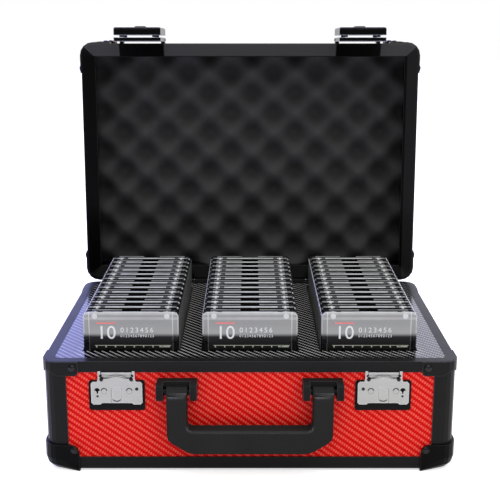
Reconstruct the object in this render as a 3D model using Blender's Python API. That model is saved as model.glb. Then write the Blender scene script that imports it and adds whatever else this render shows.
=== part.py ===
"""Latched storage case for graded cards, modelled open with its three rows of card holders.

World frame: metres, +Z up, +X to the right as the latches face the viewer, the latches on the -Y side.
The origin is the middle of the floor panel's underside.
The lid is written in its closed place, and its pivot empty opens it a little past upright.
"""
import math

import bmesh
import bpy
from mathutils import Matrix, Vector

for old_object in list(bpy.data.objects):
    bpy.data.objects.remove(old_object, do_unlink=True)

# The whole case
CASE_WIDTH = 0.345
CASE_DEPTH = 0.246
BASE_HEIGHT = 0.096
LID_HEIGHT = 0.068
CORNER_RADIUS = 0.0125
SEAM = 0.0006
FIT = 0.0003
CUT_OVERRUN = 0.002
LID_OPEN_ANGLE = math.radians(92.5)

# Board and extrusions
BOARD = 0.0055
PANEL_REBATE = 0.0006
SHEET = 0.0012
RAIL_FACE = 0.0102
RAIL_FLANGE = 0.018
POST_FACE = 0.0193
RIM_FACE = 0.0095
RIM_FLANGE = 0.0085
RIM_INNER_LEG = 0.012
LID_BEVEL_WIDTH = 0.0135
LID_BEVEL_DEPTH = 0.0056
LID_RIM_LIP = 0.0016

# Corner caps and rim plates
CAP_WALL = 0.002
CAP_REACH = 0.0305
CAP_HEIGHT = 0.0240
CAP_BALL = 0.0115
CAP_EDGE = 0.0012
CAP_EAR_RADIUS = 0.007
CORNER_TRIM = 0.025
PLATE_THICKNESS = 0.0013
PLATE_SINK = 0.0004
PLATE_EDGE_STEP = 0.0002
PLATE_TURN_SHARE = 0.97
RIVET_SINK = 0.0002
PLATE_REACH = 0.0297
PLATE_HEIGHT = 0.0125
PLATE_CORNER = 0.0028
PLATE_WAIST_SHARE = 0.45
RIVET_RADIUS = 0.0032
RIVET_HEIGHT = 0.0016
RIM_RIVET_INSET = 0.025
RIM_RIVET_DROP = 0.0055
CAP_RIVET_INSET = 0.0242
CAP_RIVET_HEIGHT = 0.0195

# Hinge along the rear
KNUCKLE_RADIUS = 0.0016
HINGE_PIN_CLEARANCE = 0.0002
HINGE_LEAF = 0.0007
HINGE_END_GAP = 0.0042
HINGE_LEAF_WIDTH = 0.011
KNUCKLE_COUNT = 14
KNUCKLE_CLEARANCE = 0.0004
HINGE_RIVET_RADIUS = 0.0019
HINGE_RIVET_HEIGHT = 0.0008
HINGE_RIVET_COUNT = 5
HINGE_RIVET_SHARE = 0.6
CURL_SHARE = 0.84

# Foam, pad and deck
PAD_THICKNESS = 0.003
DECK_THICKNESS = 0.0015
EGG_PITCH_ACROSS = 0.046
EGG_PITCH_UP = 0.042
EGG_PEAK_THICKNESS = 0.0247
EGG_VALLEY_THICKNESS = 0.0077
EGG_PIT_ACROSS = 0.0025
EGG_PIT_UP = -0.0127
EGG_POINTS_PER_PITCH = 5

# Card holders and their wells
HOLDER_WIDTH_SHARE = 0.23536
HOLDER_THICKNESS = 0.0105
HOLDER_CLEARANCE = 0.0028
HOLDER_PITCH = 0.0154
HOLDER_RADIUS = 0.0045
HOLDER_FOOT_RADIUS = 0.0015
HOLDER_BEVEL = 0.0008
HOLDER_SEAM = 0.0005
FIRST_HOLDER = 0.0271
ROW_COUNT = 3
ROW_GAP_SHARE = 0.2285
TRAY_WALL = 0.0005
TRAY_FLOOR = 0.0015
TRAY_HEIGHT = 0.008
WELL_CLEARANCE = 0.0012
WELL_BACK_WALL = 0.0166
LABEL_MARGIN = 0.0056
LABEL_HEIGHT = 0.0235
LABEL_DROP = 0.0085
LABEL_THICKNESS = 0.0006

# Latches
LATCH_SHARE = 0.6435
LOCK_PLATE_MARGIN = 0.00205
LOCK_PLATE_HEIGHT = 0.0264
LOCK_PLATE_TOP = 0.0167
LOCK_PLATE_CORNER = 0.0015
LOCK_COVER_WIDTH = 0.0426
LOCK_COVER_HEIGHT = 0.0199
LOCK_COVER_THICKNESS = 0.0011
LOCK_COVER_DROP = 0.0009
LOCK_COVER_CORNER = 0.0016
LOCK_FOOT_STEP = 0.0013
LOCK_FOOT_WIDTH = 0.0075
LOCK_EAR_SPAN = 0.0305
LOCK_EAR_WIDTH = 0.0021
LOCK_EAR_TOP = 0.0083
LOCK_EAR_STEP = 0.0008
LOCK_BELL_RISE = 0.0055
LOCK_BELL_SHOULDER = 0.0027
KEEPER_GAP = 0.0006
KEEPER_DEPTH = 0.0011
KEEPER_ROLL = 0.0009
TONGUE_WIDTH = 0.0078
TONGUE_LENGTH = 0.0112
TONGUE_FOOT = 0.0030
TONGUE_THICKNESS = 0.0016
LOCK_RIVET_RADIUS = 0.0019
LOCK_RIVET_SHARE = 0.479
LOCK_RIVET_DROP = 0.0089
LOCK_RIVET_PROUD = 0.0002
KEYHOLE_RADIUS = 0.0019
KEYHOLE_SHARE = 0.756
KEYHOLE_DROP = 0.0080
KEYHOLE_SLOT_WIDTH = 0.0014
KEYHOLE_SLOT_LENGTH = 0.0032
HASP_WIDTH = 0.0465
HASP_TIP = 0.035
HASP_PIN_RISE = 0.017
HASP_STANDOFF = 0.0018
HASP_PLATE_THICKNESS = 0.0038
HASP_SLOT = 0.0022
HASP_COVER_THICKNESS = 0.0076
HASP_COVER_TAIL = 0.0032
HASP_BEVEL = 0.0016
HASP_PIN_RADIUS = 0.0011
HASP_PIN_CLEARANCE = 0.0003
HASP_PIN_HEAD = 0.0006
TAIL_ROUND_SHARE = 0.8
HASP_EAR_WIDTH = 0.004
HASP_EAR_GAP = 0.0006
HASP_EAR_SHOULDER = 0.0016
HASP_NECK_RISE = 0.009
HASP_BASE_THICKNESS = 0.0009
HASP_BASE_FOOT = 0.0105
HASP_BASE_TOP = 0.0255
HASP_SPACER_RADIUS = 0.0022
HASP_SPACER_INSET = 0.007
HASP_POCKET_DEPTH = 0.0012
HASP_POCKET_WALL = 0.004
BUTTON_WIDTH = 0.0108
BUTTON_LENGTH = 0.014
BUTTON_PROUD = 0.0016
BUTTON_DEPTH = 0.0028
BUTTON_TRAVEL = 0.0014
BUTTON_FROM_TIP = 0.034

# Handle
HANDLE_WIDTH_SHARE = 0.3985
HANDLE_ARM_WIDTH = 0.0168
HANDLE_GRIP_HEIGHT = 0.0216
HANDLE_THICKNESS = 0.014
HANDLE_STANDOFF = 0.003
HANDLE_DROP = 0.0536
HANDLE_HEAD = 0.0039
HEAD_ROUND_SHARE = 0.46
HANDLE_CUT_ACROSS = 0.0190
HANDLE_CUT_UP = 0.0118
HANDLE_CUT_ROUND = 0.0046
HANDLE_INNER_RADIUS = 0.004
HANDLE_EDGE = 0.002
BRACKET_WIDTH = 0.0334
BRACKET_HEIGHT = 0.0145
BRACKET_DROP = 0.0055
BRACKET_RISE = 0.0075
BRACKET_BASE = 0.002
BRACKET_EAR = 0.0057
BRACKET_HOOD_DEPTH = 0.0075
BRACKET_HOOD_HEIGHT = 0.0040
BRACKET_EDGE = 0.0036
BRACKET_ROUND_SHARE = 0.3
HANDLE_PIN_RADIUS = 0.0017
HANDLE_PIN_HEAD = 0.0005

# Facets
CORNER_STEPS = 5
PLATE_STEPS = 4
EAR_STEPS = 2
BALL_STEPS = 3
TONGUE_STEPS = 6
HOLDER_STEPS = 2
RIVET_SIDES = 8
PIN_SIDES = 10
CURL_STEPS = 9
LEAST_ROUND = 0.0002

# Places worked out from the sizes above
HALF_WIDTH = CASE_WIDTH / 2
HALF_DEPTH = CASE_DEPTH / 2
POST_TRIM = CORNER_TRIM - CORNER_RADIUS * (2 - math.sqrt(2))
SKIN = SHEET + FIT
RIM_Z = BASE_HEIGHT - SKIN
LID_RIM_Z = RIM_Z + SEAM
LID_TOP_Z = LID_RIM_Z + LID_HEIGHT
HINGE_AXIS = Vector((0, HALF_DEPTH + FIT + KNUCKLE_RADIUS, RIM_Z + SEAM / 2))
HINGE_LENGTH = CASE_WIDTH - 2 * (PLATE_REACH + HINGE_END_GAP)
HINGE_PIN_RADIUS = KNUCKLE_RADIUS - HINGE_LEAF - HINGE_PIN_CLEARANCE
BOARD_INNER = SKIN + BOARD
FRONT_BOARD_Y = -HALF_DEPTH + SKIN
WELL_FLOOR_Z = BOARD + FIT + PAD_THICKNESS
TRAY_BASE_Z = WELL_FLOOR_Z + FIT
HOLDER_BASE_Z = TRAY_BASE_Z + TRAY_FLOOR
HOLDER_WIDTH = CASE_WIDTH * HOLDER_WIDTH_SHARE
LABEL_WIDTH = HOLDER_WIDTH - 2 * LABEL_MARGIN
FOAM_BACK = LID_TOP_Z - BOARD_INNER - FIT
HOLDER_TOP_Z = FOAM_BACK - EGG_PEAK_THICKNESS - HOLDER_CLEARANCE
WELL_HALF = HOLDER_WIDTH / 2 + WELL_CLEARANCE
WELL_LENGTH = CASE_DEPTH - FIRST_HOLDER + WELL_CLEARANCE - WELL_BACK_WALL
HOLDER_COUNT = 1 + int((WELL_LENGTH - 2 * WELL_CLEARANCE - HOLDER_THICKNESS) / HOLDER_PITCH)
ROW_FREE = CASE_WIDTH - 2 * (RIM_FLANGE + FIT) - ROW_COUNT * 2 * WELL_HALF
ROW_PITCH = 2 * WELL_HALF + ROW_FREE * ROW_GAP_SHARE
LATCH_OFFSET = HALF_WIDTH * LATCH_SHARE
LOCK_TOP_Z = RIM_Z - LOCK_PLATE_TOP
LOCK_PLATE_WIDTH = LOCK_COVER_WIDTH + 2 * LOCK_PLATE_MARGIN
LOCK_RIVET_OFFSET = LOCK_COVER_WIDTH / 2 * LOCK_RIVET_SHARE
KEYHOLE_OFFSET = LOCK_COVER_WIDTH / 2 * KEYHOLE_SHARE
LOCK_FACE_Y = -HALF_DEPTH - FIT - LOCK_COVER_THICKNESS
HANDLE_HALF_WIDTH = HALF_WIDTH * HANDLE_WIDTH_SHARE
HANDLE_PIVOT_HEIGHT = RIM_Z - RIM_FACE - BRACKET_DROP - BRACKET_RISE
HANDLE_Y = -HALF_DEPTH - HANDLE_STANDOFF - HANDLE_THICKNESS / 2
HASP_Y = -HALF_DEPTH - HASP_STANDOFF
HASP_PIN_Y = HASP_Y - HASP_PLATE_THICKNESS / 2
HASP_PIN_Z = LID_RIM_Z + HASP_PIN_RISE
HASP_COVER_Y = HASP_Y - HASP_PLATE_THICKNESS - HASP_SLOT

LOOKS = {
    "black_metal": ((0.012, 0.012, 0.014), 0.35, 0.6),
    "red_vinyl": ((0.60, 0.006, 0.008), 0.32, 0.0),
    "black_vinyl": ((0.015, 0.015, 0.016), 0.45, 0.0),
    "carbon_sheet": ((0.035, 0.035, 0.04), 0.4, 0.0),
    "foam": ((0.022, 0.022, 0.023), 0.95, 0.0),
    "nickel": ((0.56, 0.56, 0.57), 0.28, 1.0),
    "black_plastic": ((0.02, 0.02, 0.021), 0.45, 0.0),
    "clear_plastic": ((0.72, 0.73, 0.75), 0.12, 0.0),
    "label_card": ((0.28, 0.28, 0.29), 0.6, 0.0),
}


def material_for(name, look):
    """A Principled material of its own for one named piece."""
    colour, roughness, metallic = LOOKS[look]
    material = bpy.data.materials.new(name)
    material.use_nodes = True
    shader = material.node_tree.nodes["Principled BSDF"]
    shader.inputs["Base Color"].default_value = (*colour, 1)
    shader.inputs["Roughness"].default_value = roughness
    shader.inputs["Metallic"].default_value = metallic
    return material


class Pivot:
    """An empty on a joint's axis, placed in the closed case, with the turn that its pieces start at."""

    def __init__(self, name, place, carrier=None, turn=0.0):
        self.place = Vector(place)
        self.empty = bpy.data.objects.new(name, None)
        bpy.context.scene.collection.objects.link(self.empty)
        self.empty.parent = carrier.empty if carrier else None
        self.empty.location = self.place - (carrier.place if carrier else Vector())
        self.empty.rotation_euler = (turn, 0, 0)


def make_piece(name, bm, look, pivot, sharp_angle=35):
    """Turns a mesh built in the closed case into a named piece carried by its pivot."""
    bmesh.ops.recalc_face_normals(bm, faces=bm.faces)
    bmesh.ops.translate(bm, verts=bm.verts, vec=-pivot.place)
    mesh = bpy.data.meshes.new(name)
    bm.to_mesh(mesh)
    bm.free()
    mesh.shade_smooth()
    mesh.set_sharp_from_angle(angle=math.radians(sharp_angle))
    mesh.materials.append(material_for(name, look))
    piece = bpy.data.objects.new(name, mesh)
    bpy.context.scene.collection.objects.link(piece)
    piece.parent = pivot.empty
    return piece


def make_guide(name, bm, pivot):
    """A mesh that only cuts another piece or is fused with it."""
    guide = make_piece(name, bm, "foam", pivot)
    guide.hide_render = True
    guide.display_type = "WIRE"
    return guide


def combine(piece, operation, guide):
    modifier = piece.modifiers.new(operation.lower(), "BOOLEAN")
    modifier.operation = operation
    modifier.solver = "EXACT"
    modifier.object = guide


def cut_away(piece, cutter_bm, pivot):
    """Cuts a mesh built in the closed case out of a piece."""
    combine(piece, "DIFFERENCE", make_guide(piece.name + "_cutter", cutter_bm, pivot))


def fuse(piece, addition_bm, pivot, what):
    """Joins what is riveted, welded or moulded on to a piece."""
    combine(piece, "UNION", make_guide(piece.name + "_" + what, addition_bm, pivot))


def level(u, v, w):
    """An outline in X and Y, extruded up Z."""
    return Vector((u, v, w))


def facing_front(u, v, w):
    """An outline in X and Z, extruded along Y."""
    return Vector((u, w, v))


def facing_side(u, v, w):
    """An outline in Y and Z, extruded along X."""
    return Vector((w, u, v))


def add_prism(bm, outline, start, end, lay=level):
    """A straight extrusion of one outline between two places."""
    rings = [[bm.verts.new(lay(u, v, w)) for u, v in outline] for w in (start, end)]
    count = len(outline)
    for i in range(count):
        j = (i + 1) % count
        bm.faces.new((rings[0][i], rings[0][j], rings[1][j], rings[1][i]))
    bm.faces.new(rings[0][::-1])
    bm.faces.new(rings[1])


def add_loft(bm, loops):
    """A closed body through loops of points of one count."""
    rings = [[bm.verts.new(point) for point in loop] for loop in loops]
    for ring, following in zip(rings, rings[1:]):
        for i in range(len(ring)):
            j = (i + 1) % len(ring)
            bm.faces.new((ring[i], ring[j], following[j], following[i]))
    bm.faces.new(rings[0][::-1])
    bm.faces.new(rings[-1])


def add_box(bm, x0, x1, y0, y1, z0, z1):
    add_prism(bm, ((x0, y0), (x1, y0), (x1, y1), (x0, y1)), z0, z1)


def rounded_outline(half_x, half_y, radius, steps=CORNER_STEPS):
    """A rectangle about the origin with round corners, anticlockwise."""
    points = []
    for quarter, (side_x, side_y) in enumerate(((1, 1), (-1, 1), (-1, -1), (1, -1))):
        for i in range(steps + 1):
            angle = math.pi / 2 * (quarter + i / steps)
            points.append((
                side_x * (half_x - radius) + radius * math.cos(angle),
                side_y * (half_y - radius) + radius * math.sin(angle),
            ))
    return points


def add_ring(bm, profile, radius=CORNER_RADIUS):
    """A frame whose section, in inset from the case's sides and height, runs round the case's plan."""
    loops = []
    for inset, z in profile:
        outline = rounded_outline(HALF_WIDTH - inset, HALF_DEPTH - inset, max(radius - inset, LEAST_ROUND))
        loops.append([bm.verts.new((x, y, z)) for x, y in outline])
    for i, loop in enumerate(loops):
        following = loops[(i + 1) % len(loops)]
        for j in range(len(loop)):
            k = (j + 1) % len(loop)
            bm.faces.new((loop[j], loop[k], following[k], following[j]))


def add_dome(bm, centre, outward, radius=RIVET_RADIUS, height=RIVET_HEIGHT, sides=RIVET_SIDES):
    """A domed rivet head standing on a face."""
    turn = Vector(outward).to_track_quat("Z", "Y").to_matrix().to_4x4()
    place = Matrix.Translation(centre) @ turn
    shoulder_share, shoulder_rise_share = 0.78, 0.72
    rings = []
    for ring_radius, rise in ((radius, 0), (radius * shoulder_share, height * shoulder_rise_share)):
        rings.append([
            bm.verts.new(place @ Vector((
                ring_radius * math.cos(math.tau * i / sides),
                ring_radius * math.sin(math.tau * i / sides),
                rise,
            )))
            for i in range(sides)
        ])
    top = bm.verts.new(place @ Vector((0, 0, height)))
    bm.faces.new(rings[0][::-1])
    for i in range(sides):
        j = (i + 1) % sides
        bm.faces.new((rings[0][i], rings[0][j], rings[1][j], rings[1][i]))
        bm.faces.new((rings[1][i], rings[1][j], top))


def add_rod(bm, x0, x1, y, z, radius, sides=PIN_SIDES):
    """A round bar along X."""
    outline = [
        (y + radius * math.cos(math.tau * i / sides), z + radius * math.sin(math.tau * i / sides))
        for i in range(sides)
    ]
    add_prism(bm, outline, x0, x1, facing_side)


CORNER_NAMES = {(-1, -1): "front_left", (1, -1): "front_right", (-1, 1): "back_left", (1, 1): "back_right"}
CORNERS = list(CORNER_NAMES)


def from_corner(corner, across, along, z):
    """A point given by its distances in from the case's outer planes at one corner."""
    return Vector((corner[0] * (HALF_WIDTH - across), corner[1] * (HALF_DEPTH - along), z))


# The two halves of the case share their construction: a box of boards in an extruded frame.
# Heights in a half are measured from its outer skin towards its rim.
class Half:
    def __init__(self, name, skin_z, way, height, pivot):
        self.name, self.skin_z, self.way, self.height, self.pivot = name, skin_z, way, height, pivot

    def z(self, up):
        return self.skin_z + self.way * up


def make_boards(half, face_name, side_look):
    """The face board, rebated where the rails lap it, and the four wall boards, cut to clear the caps."""
    cap_end = CAP_REACH - FIT - CAP_WALL
    corner_cut = 2 * (cap_end - RAIL_FLANGE) - CAP_EAR_RADIUS
    loops = (
        (BOARD_INNER + FIT, CORNER_RADIUS, BOARD_INNER),
        (BOARD_INNER + FIT, CORNER_RADIUS, SKIN + PANEL_REBATE),
        (RAIL_FLANGE + FIT, corner_cut, SKIN + PANEL_REBATE),
        (RAIL_FLANGE + FIT, corner_cut, SKIN),
    )
    bm = bmesh.new()
    add_loft(bm, [
        [(x, y, half.z(up)) for x, y in rounded_outline(HALF_WIDTH - inset, HALF_DEPTH - inset, cut, 1)]
        for inset, cut, up in loops
    ])
    make_piece(half.name + "_" + face_name, bm, side_look, half.pivot)
    top = half.height - SHEET - FIT
    if half.name == "lid":
        slope = LID_BEVEL_DEPTH / (LID_BEVEL_WIDTH - LID_RIM_LIP)
        top = half.height - slope * (BOARD_INNER - LID_RIM_LIP) - SHEET - FIT
    for name, lay, half_length, outer in (
        ("front", facing_front, HALF_WIDTH, -HALF_DEPTH),
        ("back", facing_front, HALF_WIDTH, HALF_DEPTH),
        ("left", facing_side, HALF_DEPTH, -HALF_WIDTH),
        ("right", facing_side, HALF_DEPTH, HALF_WIDTH),
    ):
        end = half_length - CORNER_RADIUS
        chamfer = max(CORNER_TRIM - CORNER_RADIUS - SKIN, LEAST_ROUND)
        outline = [
            (-end, half.z(SKIN + chamfer)),
            (-end + chamfer, half.z(SKIN)),
            (end - chamfer, half.z(SKIN)),
            (end, half.z(SKIN + chamfer)),
            (end, half.z(top)),
            (-end, half.z(top)),
        ]
        inward = -math.copysign(1, outer)
        bm = bmesh.new()
        add_prism(bm, outline, outer + inward * SKIN, outer + inward * BOARD_INNER, lay)
        make_piece(half.name + "_" + name + "_panel", bm, side_look, half.pivot)


def add_wall_windows(bm, half):
    """What is cut out of the frame's skirt on each side, to leave the rim's face and the corner posts."""
    reach = SHEET + CUT_OVERRUN
    low, high = sorted((half.z(POST_TRIM - CUT_OVERRUN), half.z(half.height - RIM_FACE)))
    for side in (-1, 1):
        for across, depth, lay in (
            (HALF_WIDTH - POST_FACE, side * HALF_DEPTH, facing_front),
            (HALF_DEPTH - POST_FACE, side * HALF_WIDTH, facing_side),
        ):
            window = ((-across, low), (across, low), (across, high), (-across, high))
            add_prism(bm, window, depth - side * reach, depth + side * CUT_OVERRUN, lay)


def make_edge_rails(half):
    """Four angle extrusions round the face board's edges, cut square where the caps cover their ends."""
    section = (
        (0, 0), (RAIL_FLANGE, 0), (RAIL_FLANGE, SHEET), (SHEET, SHEET), (SHEET, RAIL_FACE), (0, RAIL_FACE),
    )
    for name, side, length, depth, lay in (
        ("front", -1, HALF_WIDTH, HALF_DEPTH, facing_side),
        ("back", 1, HALF_WIDTH, HALF_DEPTH, facing_side),
        ("left", -1, HALF_DEPTH, HALF_WIDTH, facing_front),
        ("right", 1, HALF_DEPTH, HALF_WIDTH, facing_front),
    ):
        end = length - CORNER_TRIM
        outline = [(side * (depth - inset), half.z(up)) for inset, up in section]
        bm = bmesh.new()
        add_prism(bm, outline, -end, end, lay)
        make_piece(half.name + "_rail_" + name, bm, "black_metal", half.pivot)


def cap_shell_points(corner, half):
    """Points of one ball corner's outer skin: three plates with round ears, and the ball between them."""
    stand = FIT + CAP_WALL
    reach, height, radius = CAP_REACH, CAP_HEIGHT, CORNER_RADIUS + stand
    depth = stand + FIT
    ear = []
    for i in range(EAR_STEPS + 1):
        angle = math.pi / 2 * i / EAR_STEPS
        ear.append((
            reach - CAP_EAR_RADIUS * (1 - math.cos(angle)),
            height - CAP_EAR_RADIUS * (1 - math.sin(angle)),
        ))
    points = []
    for inset in (0, depth):
        for along, up in ear:
            points += [(along, inset, up), (inset, along, up)]
        points += [(reach, inset, CAP_EDGE), (inset, reach, CAP_EDGE)]
        points += [(reach, CAP_EDGE, inset), (CAP_EDGE, reach, inset)]
        points.append((reach, reach - CAP_EAR_RADIUS, inset))
        points.append((reach - CAP_EAR_RADIUS, reach, inset))
    for i in range(CORNER_STEPS + 1):
        angle = math.pi / 2 * i / CORNER_STEPS
        for drop_step in range(BALL_STEPS + 1):
            drop = math.pi / 2 * drop_step / BALL_STEPS
            swing = radius - CAP_BALL * (1 - math.cos(drop))
            up = CAP_BALL * (1 - math.sin(drop))
            points.append((radius - swing * math.sin(angle), radius - swing * math.cos(angle), up))
        points.append((radius * (1 - math.sin(angle)), radius * (1 - math.cos(angle)), height))
    for across, along, up in points:
        yield from_corner(corner, across - stand, along - stand, half.z(up - stand))


def make_cap_hollow(half):
    """The case's own outer shape with its four corners trimmed, which the caps fit over."""
    bm = bmesh.new()
    outline = rounded_outline(HALF_WIDTH + FIT, HALF_DEPTH + FIT, CORNER_RADIUS + FIT)
    add_prism(bm, outline, half.z(-FIT), half.z(half.height))
    trim = CORNER_TRIM - FIT
    for corner in CORNERS:
        bmesh.ops.bisect_plane(
            bm,
            geom=bm.verts[:] + bm.edges[:] + bm.faces[:],
            plane_co=from_corner(corner, trim, 0, half.z(0)),
            plane_no=Vector((corner[0], corner[1], -half.way)).normalized(),
            clear_outer=True,
        )
        bmesh.ops.holes_fill(bm, edges=[e for e in bm.edges if e.is_boundary], sides=0)
    return make_guide(half.name + "_cap_hollow", bm, half.pivot)


def make_corner_caps(half):
    """Four pressed ball corners, each a shell cut hollow by the case's trimmed corner, with its rivets."""
    hollow = make_cap_hollow(half)
    stand = -(FIT + CAP_WALL)
    rivet_z = half.z(CAP_RIVET_HEIGHT + stand)
    for corner in CORNERS:
        bm = bmesh.new()
        verts = [bm.verts.new(point) for point in cap_shell_points(corner, half)]
        hull = bmesh.ops.convex_hull(bm, input=verts)
        unused = [v for v in hull["geom_interior"] + hull["geom_unused"] if isinstance(v, bmesh.types.BMVert)]
        bmesh.ops.delete(bm, geom=list(set(unused)), context="VERTS")
        bmesh.ops.dissolve_limit(bm, angle_limit=math.radians(0.5), verts=bm.verts, edges=bm.edges)
        name = half.name + "_cap_" + CORNER_NAMES[corner]
        cap = make_piece(name, bm, "black_metal", half.pivot, sharp_angle=40)
        combine(cap, "DIFFERENCE", hollow)
        rivets = bmesh.new()
        sink = stand + RIVET_SINK
        add_dome(rivets, from_corner(corner, CAP_RIVET_INSET, sink, rivet_z), (0, corner[1], 0))
        add_dome(rivets, from_corner(corner, sink, CAP_RIVET_INSET, rivet_z), (corner[0], 0, 0))
        fuse(cap, rivets, half.pivot, "rivets")


def plate_stations():
    """Distances in from the two sides along a rim plate, with its lower edge's rise at the round ends."""
    stations = []
    for i in range(EAR_STEPS + 1):
        angle = math.pi / 2 * i / EAR_STEPS
        along_end = PLATE_CORNER * (1 - math.cos(angle))
        rise = PLATE_CORNER * (1 - math.sin(angle))
        stations.append((PLATE_REACH - along_end, rise))
    first = [(along, 0, rise, 0, -1) for along, rise in stations]
    turn = []
    radius = CORNER_RADIUS * PLATE_TURN_SHARE
    waist = (PLATE_HEIGHT - PLATE_CORNER) * PLATE_WAIST_SHARE
    for i in range(PLATE_STEPS + 1):
        angle = math.pi / 2 * i / PLATE_STEPS
        turn.append((
            radius * (1 - math.sin(angle)),
            radius * (1 - math.cos(angle)),
            waist * math.sin(2 * angle),
            -math.sin(angle),
            -math.cos(angle),
        ))
    last = [(0, along, rise, -1, 0) for along, rise in reversed(stations)]
    return first + turn + last


def add_rim_plates(bm, half):
    """Four thin plates wrapped round the rim's corners."""
    edge = half.height - PLATE_EDGE_STEP
    for corner in CORNERS:
        loops = []
        for across, along, rise, out_x, out_y in plate_stations():
            low, high = half.z(half.height - PLATE_HEIGHT + rise), half.z(edge)
            loop = []
            for offset, z in (
                (-PLATE_SINK, low), (PLATE_THICKNESS, low), (PLATE_THICKNESS, high), (-PLATE_SINK, high),
            ):
                point = from_corner(corner, across + out_x * offset, along + out_y * offset, z)
                loop.append(bm.verts.new(point))
            loops.append(loop)
        for loop, following in zip(loops, loops[1:]):
            for i in range(4):
                j = (i + 1) % 4
                bm.faces.new((loop[i], loop[j], following[j], following[i]))
        bm.faces.new(loops[0])
        bm.faces.new(loops[-1][::-1])


def make_frame(half, rim_profile):
    """The rim extrusion and its corner posts, with the corner plates and their rivets fixed on."""
    skirt = half.height - POST_TRIM
    profile = rim_profile + ((SHEET, skirt), (0, skirt))
    rim = bmesh.new()
    add_ring(rim, [(inset, half.z(half.height - back)) for inset, back in profile])
    frame = make_piece(half.name + "_frame", rim, "black_metal", half.pivot)
    windows, plates, rivets = bmesh.new(), bmesh.new(), bmesh.new()
    add_wall_windows(windows, half)
    add_rim_plates(plates, half)
    sink = RIVET_SINK - PLATE_THICKNESS
    rivet_z = half.z(half.height - RIM_RIVET_DROP)
    for corner in CORNERS:
        add_dome(rivets, from_corner(corner, RIM_RIVET_INSET, sink, rivet_z), (0, corner[1], 0))
        add_dome(rivets, from_corner(corner, sink, RIM_RIVET_INSET, rivet_z), (corner[0], 0, 0))
    cut_away(frame, windows, half.pivot)
    fuse(frame, plates, half.pivot, "plates")
    fuse(frame, rivets, half.pivot, "rivets")


# Bodies
root = Pivot("case_root", (0, 0, 0))
lid_pivot = Pivot("lid_pivot", HINGE_AXIS, root, -LID_OPEN_ANGLE)
handle_pivot = Pivot("handle_pivot", (0, HANDLE_Y, HANDLE_PIVOT_HEIGHT), root)
base = Half("base", -SKIN, 1, BASE_HEIGHT, root)
lid = Half("lid", LID_TOP_Z, -1, LID_HEIGHT, lid_pivot)

# Boxes and frames. The base's rim is a channel whose flange lies flush with the deck sheet.
# The lid's rim is bevelled, and slopes back towards the foam.
base_rim_profile = (
    (0, 0), (RIM_FLANGE, 0), (RIM_FLANGE, RIM_INNER_LEG), (BOARD_INNER + FIT, RIM_INNER_LEG),
    (BOARD_INNER + FIT, SHEET), (SHEET, SHEET),
)
lid_rim_profile = (
    (0, 0), (LID_RIM_LIP, 0), (LID_BEVEL_WIDTH, LID_BEVEL_DEPTH),
    (LID_BEVEL_WIDTH, LID_BEVEL_DEPTH + SHEET), (LID_RIM_LIP, SHEET), (SHEET, SHEET),
)
for half, face_name, rim_profile in (
    (base, "floor_panel", base_rim_profile),
    (lid, "top_panel", lid_rim_profile),
):
    make_boards(half, face_name, "red_vinyl")
    make_edge_rails(half)
    make_corner_caps(half)
    make_frame(half, rim_profile)

# Foam block and deck sheet with the three wells, and the pad under them
row_length = HOLDER_PITCH * (HOLDER_COUNT - 1) + HOLDER_THICKNESS
row_front = -HALF_DEPTH + FIRST_HOLDER
row_places = [ROW_PITCH * row for row in (-1, 0, 1)]
well_front = row_front - WELL_CLEARANCE


def add_wells(bm, z0, z1):
    for x in row_places:
        add_box(bm, x - WELL_HALF, x + WELL_HALF, well_front, well_front + WELL_LENGTH, z0, z1)


inside = RIM_FLANGE + FIT
inside_outline = rounded_outline(
    HALF_WIDTH - inside, HALF_DEPTH - inside, max(CORNER_RADIUS - inside, LEAST_ROUND), steps=2
)
pad = bmesh.new()
add_prism(pad, inside_outline, BOARD + FIT, WELL_FLOOR_Z)
make_piece("floor_pad", pad, "foam", root)
for name, look, z0, z1 in (
    ("foam_block", "foam", WELL_FLOOR_Z + FIT, RIM_Z - DECK_THICKNESS - FIT),
    ("deck_sheet", "carbon_sheet", RIM_Z - DECK_THICKNESS, RIM_Z),
):
    body = bmesh.new()
    add_prism(body, inside_outline, z0, z1)
    wells = bmesh.new()
    add_wells(wells, z0 - CUT_OVERRUN, z1 + CUT_OVERRUN)
    cut_away(make_piece(name, body, look, root), wells, root)

# Egg-crate foam: two crossed cosines, peaks towards the mouth, on a flat back
foam_half_x = HALF_WIDTH - BOARD_INNER - FIT
foam_half_y = HALF_DEPTH - BOARD_INNER - FIT
egg_middle = FOAM_BACK - (EGG_PEAK_THICKNESS + EGG_VALLEY_THICKNESS) / 2
egg_swing = (EGG_PEAK_THICKNESS - EGG_VALLEY_THICKNESS) / 2
columns = round(2 * foam_half_x / EGG_PITCH_ACROSS * EGG_POINTS_PER_PITCH)
lines = round(2 * foam_half_y / EGG_PITCH_UP * EGG_POINTS_PER_PITCH)
egg = bmesh.new()
surface, back = [], []
for row in range(lines + 1):
    y = foam_half_y * (2 * row / lines - 1)
    surface.append([])
    back.append([])
    for column in range(columns + 1):
        x = foam_half_x * (2 * column / columns - 1)
        across = math.cos(math.tau * (x - EGG_PIT_ACROSS) / EGG_PITCH_ACROSS)
        up = math.cos(math.tau * (-y - EGG_PIT_UP) / EGG_PITCH_UP)
        surface[-1].append(egg.verts.new((x, y, egg_middle + egg_swing * across * up)))
        on_edge = row in (0, lines) or column in (0, columns)
        back[-1].append(egg.verts.new((x, y, FOAM_BACK)) if on_edge else None)
for row in range(lines):
    for column in range(columns):
        near, far = surface[row], surface[row + 1]
        egg.faces.new((near[column], near[column + 1], far[column + 1], far[column]))
edge = [(0, c) for c in range(columns)] + [(r, columns) for r in range(lines)]
edge += [(lines, c) for c in range(columns, 0, -1)] + [(r, 0) for r in range(lines, 0, -1)]
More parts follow.
